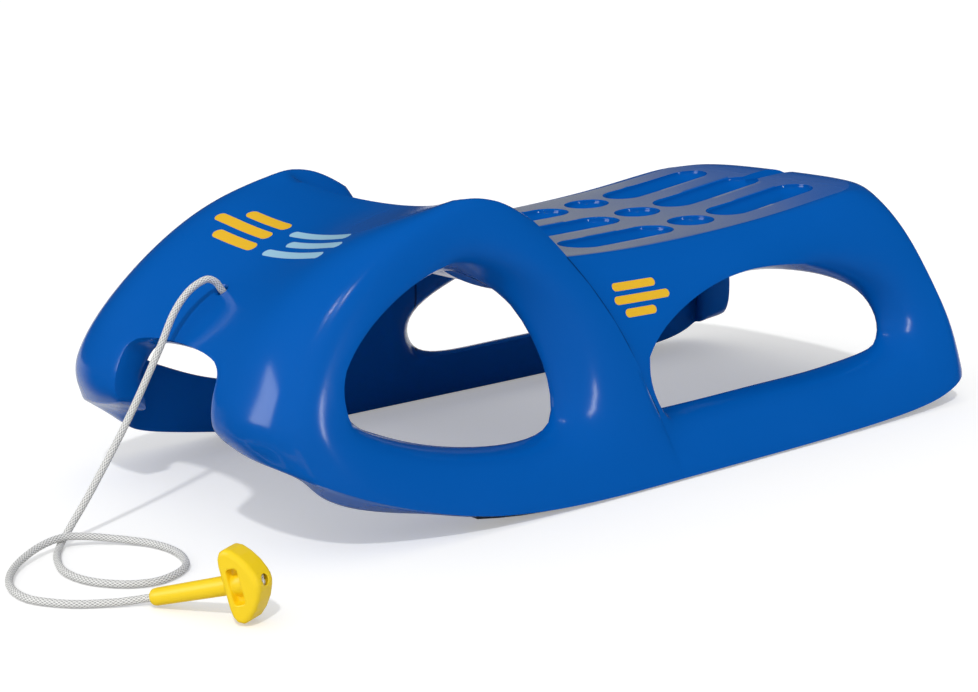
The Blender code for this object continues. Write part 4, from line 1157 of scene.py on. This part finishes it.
class SledStage(bpy.types.Operator):
    """Makes the floor, the studio light and the camera"""

    bl_idname = "sled.make_stage"
    bl_label = "Stage and Camera"

    def execute(self, context):
        """Builds floor, world, lamps and camera."""
        studio = context.scene.sled_studio
        bm = bmesh.new()
        bmesh.ops.create_grid(bm, x_segments=1, y_segments=1, size=studio.floor_size / 2)
        floor = to_object("floor", bm)
        floor.data.materials.append(self.floor_material(studio))
        self.world(context, studio)
        self.lamps(studio)
        self.camera(context)
        view = context.scene.view_settings
        view.view_transform = "Standard"
        return {"FINISHED"}

    @staticmethod
    def rays(tree):
        """Returns the masks of the rays that look straight on and of the mirrored ones."""
        path = node(tree, "ShaderNodeLightPath")
        seen = sums(tree, "ADD", path.outputs["Is Camera Ray"], path.outputs["Is Transmission Ray"],
                    clamp=True)
        return seen, path.outputs["Is Glossy Ray"]

    @staticmethod
    def ahead(tree, way, ends):
        """Returns a mask of the ways that lead from the camera's side to the backdrop."""
        onward = (-math.sin(CAMERA_AZIMUTH), math.cos(CAMERA_AZIMUTH), 0)
        return remap(tree, vectors(tree, "DOT_PRODUCT", way, onward).outputs["Value"], ends,
                     kind="SMOOTHSTEP")

    def floor_material(self, studio):
        """Makes a pale floor that keeps the shadow and looks white elsewhere."""
        made, tree = fresh_material("pale_floor")
        tone = studio.floor_tone
        shade = node(tree, "ShaderNodeBsdfDiffuse", {"Color": (tone, tone, tone * FLOOR_WARMTH, 1)})
        seen, mirrored = self.rays(tree)
        glow = node(tree, "ShaderNodeEmission", {
            "Color": (1, 1, 1, 1), "Strength": sums(tree, "MULTIPLY", seen, FLOOR_GLOW)})
        both = node(tree, "ShaderNodeAddShader", {0: shade.outputs[0], 1: glow.outputs[0]})
        back = node(tree, "ShaderNodeNewGeometry").outputs["Incoming"]
        way = vectors(tree, "MULTIPLY", back, (-1, -1, -1)).outputs[0]
        near = sums(tree, "SUBTRACT", 1.0, self.ahead(tree, way, FLOOR_AHEAD))
        dim = node(tree, "ShaderNodeEmission", {"Color": (1, 1, 1, 1), "Strength": studio.dim})
        whole = node(tree, "ShaderNodeMixShader", {0: sums(tree, "MULTIPLY", mirrored, near),
                                                   1: both.outputs[0], 2: dim.outputs[0]})
        node(tree, "ShaderNodeOutputMaterial", {0: whole.outputs[0]})
        return made

    def world(self, context, studio):
        """Makes an even surround that is seen as white."""
        world = bpy.data.worlds.new("studio")
        world.use_nodes = True
        tree = world.node_tree
        tree.nodes.clear()
        seen, mirrored = self.rays(tree)
        way = node(tree, "ShaderNodeTexCoord").outputs["Generated"]
        along, height = split(tree, way)[1:]
        low = remap(tree, height, BACKDROP_UP, kind="SMOOTHSTEP")
        bright = sums(tree, "MULTIPLY", low, self.ahead(tree, way, BACKDROP_AHEAD))
        glossy = between(tree, bright, studio.dim, studio.backdrop)
        share = remap(tree, along, (-1.0, 1.0), (FILL_FRONT, FILL_BACK))
        fill = sums(tree, "MULTIPLY", share, studio.fill)
        level = between(tree, seen, between(tree, mirrored, fill, glossy), 1.0)
        background = node(tree, "ShaderNodeBackground", {"Color": (1, 1, 1, 1), "Strength": level})
        node(tree, "ShaderNodeOutputWorld", {0: background.outputs[0]})
        context.scene.world = world

    @staticmethod
    def lamps(studio):
        """Hangs the key lamp and the softboxes that the sled mirrors."""
        data = bpy.data.lights.new("key_lamp", "SUN")
        data.energy, data.angle = studio.key, KEY_ANGLE
        lamp = link(bpy.data.objects.new("key_lamp", data))
        lamp.rotation_euler = Vector(KEY_WAY).to_track_quat("Z", "Y").to_euler()
        lamp.visible_glossy = False
        for name, power, place, aim, size in MIRRORED_LAMPS:
            data = bpy.data.lights.new(name, "AREA")
            data.shape, data.size, data.size_y = "RECTANGLE", *size
            data.energy = getattr(studio, power)
            lamp = link(bpy.data.objects.new(name, data))
            lamp.location = place
            lamp.rotation_euler = (Vector(place) - Vector(aim)).to_track_quat("Z", "Y").to_euler()
            lamp.visible_camera = lamp.visible_diffuse = False

    @staticmethod
    def camera(context):
        """Sets up the camera of the photograph."""
        data = bpy.data.cameras.new("camera")
        data.sensor_fit = "HORIZONTAL"
        data.sensor_width = CAMERA_SENSOR
        data.lens = CAMERA_LENS
        data.clip_end = CAMERA_REACH
        camera = link(bpy.data.objects.new("camera", data))
        side, along = math.sin(CAMERA_AZIMUTH), math.cos(CAMERA_AZIMUTH)
        flat = math.cos(CAMERA_DROP)
        ahead = Vector((-side * flat, along * flat, -math.sin(CAMERA_DROP)))
        level = Vector((along, side, 0))
        over = level.cross(ahead)
        right = level * math.cos(CAMERA_ROLL) + over * math.sin(CAMERA_ROLL)
        up = over * math.cos(CAMERA_ROLL) - level * math.sin(CAMERA_ROLL)
        turn = Matrix((right, up, -ahead)).transposed().to_4x4()
        camera.matrix_world = Matrix.Translation(CAMERA_PLACE) @ turn
        context.scene.camera = camera


class SledPanel(bpy.types.Panel):
    """Lists the sled's sizes, colours and makers"""

    bl_idname = "VIEW3D_PT_sled"
    bl_label = "Sled"
    bl_space_type = "VIEW_3D"
    bl_region_type = "UI"
    bl_category = "Sled"

    def draw(self, context):
        """Draws the panel."""
        column = self.layout.column(align=True)
        for maker in OPERATORS:
            column.operator(maker.bl_idname)
        scene = context.scene
        for group in (scene.sled_sizes, scene.sled_colours, scene.sled_studio):
            box = self.layout.box()
            for name in group.bl_rna.properties.keys():
                if name not in ("rna_type", "name"):
                    box.prop(group, name)


OPERATORS = (SledStage, SledBody, SledRunners, SledGrip, SledCord)
CLASSES = (SledSizes, SledColours, SledStudio) + OPERATORS + (SledPanel,)


def register():
    """Registers the classes and the scene's properties."""
    for found in CLASSES:
        bpy.utils.register_class(found)
    bpy.types.Scene.sled_sizes = PointerProperty(type=SledSizes)
    bpy.types.Scene.sled_colours = PointerProperty(type=SledColours)
    bpy.types.Scene.sled_studio = PointerProperty(type=SledStudio)


def unregister():
    """Takes the classes and the scene's properties away."""
    del bpy.types.Scene.sled_studio
    del bpy.types.Scene.sled_colours
    del bpy.types.Scene.sled_sizes
    for found in reversed(CLASSES):
        bpy.utils.unregister_class(found)


def main():
    """Makes the stage and every piece."""
    register()
    bpy.ops.sled.make_stage()
    bpy.ops.sled.make_body()
    bpy.ops.sled.finish_runners()
    bpy.ops.sled.make_grip()
    bpy.ops.sled.make_cord()


if __name__ == "__main__":
    main()
